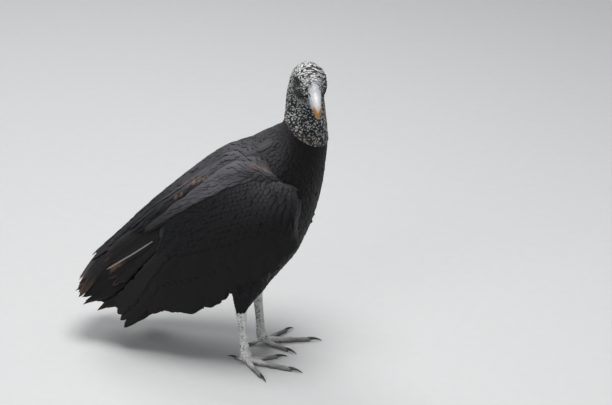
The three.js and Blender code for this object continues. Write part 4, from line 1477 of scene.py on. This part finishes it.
def cape_rows(seed):
    """The long silky shoulder feathers. Seven rows make a raised tongue from its ragged lower edge up to a
    ridge, and five rows lie behind the ridge, up to the back. Each row starts at its own phase, by the golden
    section, so that no two rows line up."""
    low, ridge, high = (evenly(course, 24, 0.0) for course in (CAPE_LOW, CAPE_RIDGE, CAPE_HIGH))
    tongue, behind = 7, len(CAPE_BACK_SHEEN)
    phases = 0.2 + 0.6 * (np.arange(tongue + behind) * 0.618 % 1)
    for k in range(tongue):
        course = low + (ridge - low) * (k / (tongue - 0.5))
        row = (course, 26, [28, 34, 38, 40], [34, 54, 74, 84], [4.6, 5.2, 5, 4.2])
        # Painted sheen: each tongue row is painted lightest along its middle, where light from above catches
        # it, and darker at its front, more so on the lower rows.
        tone = spread([0.7 + 0.4 * k, 2.4 + 0.5 * k, 5.6, 4.2, 2.2, 1.4], 26)
        yield wing_row(row, MIDDLING, (-0.6 + 0.08 * k, 1.1 + 0.06 * k), seed + k, phases[k], blunt=1.15,
                       roll=0.01, tip_wear=0.05, tone=tone, ragged=0.25, vary=0.06)
    for k, row_sheen in enumerate(CAPE_BACK_SHEEN):
        course = ridge + (high - ridge) * (k / (behind - 1))
        row = (course, 20, [38, 40, 42, 43], [34, 60, 84, 92], [5.5, 6.5, 6.5, 6])
        yield wing_row(row, MIDDLING, (-1.4, 0.05 + 0.05 * k), seed + tongue + k, phases[tongue + k],
                       blunt=1.3, tip_wear=0.08, tone=spread(row_sheen, 20), ragged=0.25, vary=0.08)


def shoulder_surface():
    """Over the front part of the right wing's upper edge: six rows of four points, two on the trunk above the
    edge and two on the wing's outer face."""
    shares = np.array([0.17, 0.23, 0.3, 0.38, 0.46, 0.54])
    u = np.array([0.307, 0.291, 0.268, 0.24, 0.213, 0.186])
    a = np.array([-1.25, -1.01, -0.73, -0.5, -0.32, -0.2])
    columns = [full_body(u + 0.02, a + 0.42), full_body(u + 0.01, a + 0.22)]
    for o, rise in ((0.1, 2.4), (0.32, 1.6)):
        face, _, _, normal = slopes(wing, shares, o + 0 * shares)
        columns.append(face + normal * rise)
    return panel(np.stack(columns, 1).reshape(len(shares), -1))


def shoulder_feathers(seed):
    """Small feathers in offset rows that run from the trunk over the wing's upper edge, painted lightest
    there as a sheen of light on the edge.
    """
    rows, columns = 11, 9
    row, column = (grid.ravel() for grid in np.meshgrid(np.arange(rows), np.arange(columns), indexing="ij"))
    rng = np.random.default_rng(seed)
    s = 0.04 + 0.68 * (row + 0.5 * (column % 2) + rng.normal(0, 0.08, len(row))) / rows
    o = 0.03 + 0.88 * (column + rng.normal(0, 0.08, len(row))) / columns
    # Painted sheen: lightest where the feathers cross the wing's upper edge and catch the light, darker
    # towards the front.
    tone = np.interp(o, [0, 0.45, 0.65, 0.92], [1.5, 2.1, 4.6, 1.9]) * np.interp(s, [0.04, 0.3], [0.45, 1])
    return plumes(shoulder_surface(), s, o, 1, 21 + 5 * o, 5.4, SMALL, (-1.3, 0.12), seed,
                  sweep=0.15 + 0.35 * o, skew=0.08, tone=tone, vary=0.06, patch=np.stack([o, s], -1))


def back_surface():
    """The back between the folded wings, from its left edge to its right. Its front row lies on the trunk.
    Each row behind that arches from one wing's outer face, over both wings' inner edges, to the other's."""
    angles = np.array([0.9, 0.5, 0, -0.5, -0.9])
    rows = [body(0.34 + 0 * angles, angles) + [0, 0, 0.6]]
    for row, rise in zip(WING[3:], BACK_RISE):
        inner, beyond = np.array(row[:3], float), np.array(row[3:6], float)
        outer = inner + 0.3 * (beyond - inner)
        left_outer, left_inner = to_left(outer), to_left(inner)
        middle = (inner + left_inner) / 2 + [0, 0, rise]
        rows.append(np.array([left_outer, left_inner, middle, inner, outer]) + [0, 0, 1.2])
    return panel(np.array(rows).reshape(len(rows), -1))


def back_feathers():
    """Rows of long feathers every 13 mm down the back, which close the gap between the wings."""
    surface = back_surface()
    shares = np.linspace(0.02, 0.94, 24)
    rows = surface(shares[:, None], np.linspace(0, 1, 20))
    wide = np.linalg.norm(np.diff(rows, axis=1), axis=-1).sum(1)
    s, c = offset_rows(shares, np.round(wide / 10).astype(int), 0.25)
    rng = np.random.default_rng(91)
    s = s + rng.normal(0, 0.006, len(s))
    long = np.interp(s, [0, 0.3, 1], [30, 48, 58]) * (1 + rng.normal(0, 0.06, len(s)))
    half = np.interp(s, [0, 0.3], [6.5, 8.5])
    # Painted sheen: the front of the back is painted lighter, where light from above catches it.
    tone = np.interp(s, [0, 0.42, 0.6, 1], [2.2, 2.6, 0.6, 0.4])
    flock = plumes(surface, s, c, 1, long, half, MIDDLING, (-1.6, 0.25), 92, blunt=1.6, crown=0.04, tone=tone,
                   vary=0.08, tip_wear=0.08, ragged=0.2, patch=np.stack([c, s], -1))
    feather_piece("back_feathers", [flock], "body_feathers")


def atlas(count):
    """Places on the map for the patches of a number of long feathers, in rows over all of it."""
    at = np.arange(count)
    rows = math.ceil(count / PATCH_COLUMNS)
    return np.stack([(at % PATCH_COLUMNS) / PATCH_COLUMNS, (at // PATCH_COLUMNS) / rows], -1)


def fan(seed, patch):
    """Seven pointed feathers that spread behind the wing over the tail's side."""
    o, share, raised = np.array(FAN_SPREAD).T
    surface = panel(FAN)
    long = length_along(surface, 0, o) * share
    return plumes(surface, 0 * o, o, 1, long, 7.5, LONG, (raised - 0.6, raised + 0.8), seed, blunt=1.1,
                  crown=0.08, shaft=0.5, lop=0.2, ragged=0.3, skew=0.01, roll=0.05, tip_wear=0.55,
                  worn_from=0.55, patch=patch, size=LONG_PATCH, tone=0.5)


def pale_feather(seed, patch):
    """One worn feather over the tail's side, with a bare pale shaft. Its vane is faded along its outer half,
    more above the shaft than below it."""
    row = ([[-238, 97], [-238.5, 97.5]], 1, [36.5, 36.5], [140, 140], [8, 8])
    points, faces, values, maps = wing_row(row, LONG, (-2.4, 1.6), seed, blunt=1.2, crown=0.08, shaft=0.7,
                                           ragged=0.2, tip_wear=0.4, patch=patch, size=LONG_PATCH, tone=0.6)
    stations, across = LONG
    along = np.array(stations)[:, None]
    tone, wear = (values[key].reshape(len(stations), len(across)).copy() for key in ("tone", "wear"))
    tone[:-4, 3:5], wear[:-4, 3:5] = 15.0, 0.42  # the shaft, which ends short of the tip
    wear[:, 5:] += 0.5 * bump(along, 0.62, 0.2)
    wear[:, :3] += 0.3 * bump(along, 0.8, 0.12)
    values.update(tone=tone.ravel(), wear=np.clip(wear, 0, 1).ravel())
    return points, faces, values, maps


def wing_feathers(side):
    """The folded wing's feathers in three pieces: the long ones, the coverts, and the cape with the
    shoulder's. The rearmost secondaries are more pointed, lie a little higher and are painted lighter, as a
    highlight along their edge."""
    seed = 200 + 40 * (side == "left")
    own = dict(crown=0.07, shaft=0.5, ragged=0.35, lop=0.25, size=LONG_PATCH)
    counts = [SECONDARIES[1], GREATER_COVERTS[1], TERTIALS[1], len(FAN_SPREAD), 1]
    patches = np.split(atlas(sum(counts)), np.cumsum(counts[:-1]))
    at = np.arange(SECONDARIES[1])
    blunt = np.interp(at, [0, 21, 26, 29, 31], [5, 4.5, 1.5, 1.3, 2.5])
    raised = 1.4 * ramp(at, 26, 31)
    # Painted highlight: the rearmost secondaries are painted lighter, as a streak of light along their edge.
    tone = 0.5 + 0.3 * ramp(at, 27, 31)
    long_ones = [
        wing_row(SECONDARIES, LONG, (raised - 2.2, raised - 1.2), seed, roll=0.03, tip_wear=0.1,
                 patch=patches[0], tone=tone, blunt=blunt, **own),
        wing_row(GREATER_COVERTS, LONG, (-1.7, -0.8), seed + 1, roll=0.02, patch=patches[1], tone=0.42,
                 blunt=5, **own),
        wing_row(TERTIALS, LONG, (-3.2, -1.0), seed + 2, roll=0.02, tip_wear=0.5, worn_from=0.5,
                 patch=patches[2], tone=0.5, blunt=1.3, **own),
        fan(seed + 3, patches[3]),
        pale_feather(seed + 29, patches[4]),
    ]
    coverts = list(covert_rows(seed + 4))
    cape = [*cape_rows(seed + 20), shoulder_feathers(seed + 35)]
    feather_piece(f"flight_feathers_{side}", long_ones, "flight_feathers", [f"wing_{side}"], side)
    feather_piece(f"wing_coverts_{side}", coverts, "body_feathers", [f"wing_{side}"], side)
    feather_piece(f"cape_feathers_{side}", cape, "body_feathers", [f"wing_{side}"], side)


def primaries(side):
    """The tips of the six longest wing feathers, which show below the tail's edge."""
    seed = 230 + 40 * (side == "left")
    o, share = np.array(PRIMARIES).T
    start = -0.1  # their roots lie ahead of the surface's first row
    long = length_along(wing_tip, start, o) * share
    flock = plumes(wing_tip, 0 * o + start, o, 1, long, 9.5, LONG, (-1.5, 0.8), seed, blunt=1.1, crown=0.1,
                   shaft=0.5, lop=0.3, ragged=0.3, skew=0.02, tip_wear=0.35, patch=atlas(len(o)),
                   size=PRIMARY_PATCH, tone=0.5)
    feather_piece(f"primaries_{side}", [flock], "flight_feathers", [f"wing_tip_{side}"], side)


def tail_feathers():
    """Twelve broad tail feathers, the middle ones on top, and three rows of coverts over their roots."""
    o = (np.arange(12) + 0.5) / 12
    side = np.sign(o - 0.5)
    middle = 1 - np.abs(2 * o - 1)
    rng = np.random.default_rng(301)
    start = -0.08  # their roots lie ahead of the surface's first row
    long = length_along(tail, start, o) * (1 + rng.normal(0, 0.025, 12))
    lift = (-2.2 + 1.6 * middle, -0.6 + 2.2 * middle)
    long_ones = plumes(tail, 0 * o + start, o, 1, long, 12.5, LONG, lift, 302, blunt=1.4, crown=0.06,
                       shaft=0.6, roll=-0.07 * side, ragged=0.5, tip_wear=0.8, worn_from=0.45, skew=0.02,
                       patch=atlas(len(o)), size=LONG_PATCH, tone=0.6)
    rows = []
    for k, (start, count, long) in enumerate([(-0.15, 9, 60), (-0.3, 8, 54), (-0.42, 7, 50)]):
        at = (np.arange(count) + 0.5) / count
        patch = np.stack([at * 0.9, 0 * at + 0.84 + 0.04 * k], -1)
        rows.append(plumes(tail, 0 * at + start, at, 1, long, 9.5, MIDDLING, (-0.5 + 0.7 * k, 2.4 + 0.8 * k),
                           303 + k, blunt=3, crown=0.15, tip_wear=0.3, ragged=0.2, tone=0.5, patch=patch))
    feather_piece("tail_feathers", [long_ones, *rows], "flight_feathers", ["tail"])


def feathers():
    """The whole coat. The thighs' feathers are made in place on either side, and so aren't mirrored."""
    for name, flock in trunk_feathers():
        feather_piece(name, [flock], "body_feathers")
    for side in SIDES:
        wing_feathers(side)
        primaries(side)
        feather_piece(f"thigh_feathers_{side}", [thigh_feathers(side)], "body_feathers")
    back_feathers()
    tail_feathers()


# ---- Floor, light and camera ----

# The lamps: their place from the bird's middle and their width in metres, and their power in watts.
LAMPS = {
    "high_light": ((0.2, -0.35, 2.2), 1.3, 62),
    "window_light": ((-1.2, 1.3, 1.7), 1.4, 26),
    "front_light": ((-0.4, -2.0, 1.1), 1.2, 13),
}


def studio():
    """A pale floor, soft light from above, from the bird's back left and from beside the camera, and a dim
    bluish room."""
    m = Maker("floor_paint")
    grain = m.noise(m.here(), 60.0, 4.0)
    colour = m.mix(grain, grey(0.44), grey(0.47))
    m.finish(colour, 0.85 + grain * 0.05, grain, 0.0001)
    reach, below = 3000, -0.02  # the floor is a hair below the soles
    points = [[-reach, -reach, below], [reach, -reach, below], [reach, reach, below], [-reach, reach, below]]
    floor = make_mesh("floor", points, [np.array([[0, 1, 2, 3]])], flat={0})
    floor.data.materials.append(m.material)
    middle = Vector(place([20, 0, 210]))
    for name, (way, size, power) in LAMPS.items():
        lamp = bpy.data.lights.new(name, "AREA")
        lamp.shape, lamp.size, lamp.energy = "DISK", size, power
        stand = bpy.data.objects.new(name, lamp)
        stand.location = middle + Vector(way)
        stand.rotation_euler = Vector(way).to_track_quat("Z", "Y").to_euler()
        bpy.context.scene.collection.objects.link(stand)
    world = bpy.data.worlds.new("room")
    world.use_nodes = True
    background = world.node_tree.nodes["Background"]
    background.inputs["Color"].default_value = (0.93, 0.96, 1.0, 1)
    background.inputs["Strength"].default_value = 0.36
    bpy.context.scene.world = world
    bpy.context.scene.view_settings.view_transform = "Standard"


def camera():
    """A long lens on the bird's right side, turned round towards its front, and looking down."""
    turn, down = math.radians(CAMERA_TURN), math.radians(CAMERA_DOWN)
    right = Vector((math.cos(turn), math.sin(turn), 0))
    up = Vector((-math.sin(turn) * math.sin(down), math.cos(turn) * math.sin(down), math.cos(down)))
    back = right.cross(up)
    lens = bpy.data.cameras.new("camera")
    lens.sensor_width = SENSOR
    lens.lens = SENSOR * CAMERA_AWAY / FRAME_WIDE
    lens.clip_start, lens.clip_end = 0.1, 50
    view = bpy.data.objects.new("camera", lens)
    view.matrix_world = Matrix((right, up, back)).transposed().to_4x4()
    view.matrix_world.translation = Vector(place(right * AIM_RIGHT + up * AIM_UP + back * CAMERA_AWAY))
    bpy.context.scene.collection.objects.link(view)
    bpy.context.scene.camera = view


skin()
bill()
eyes()
claws()
feathers()
studio()
camera()
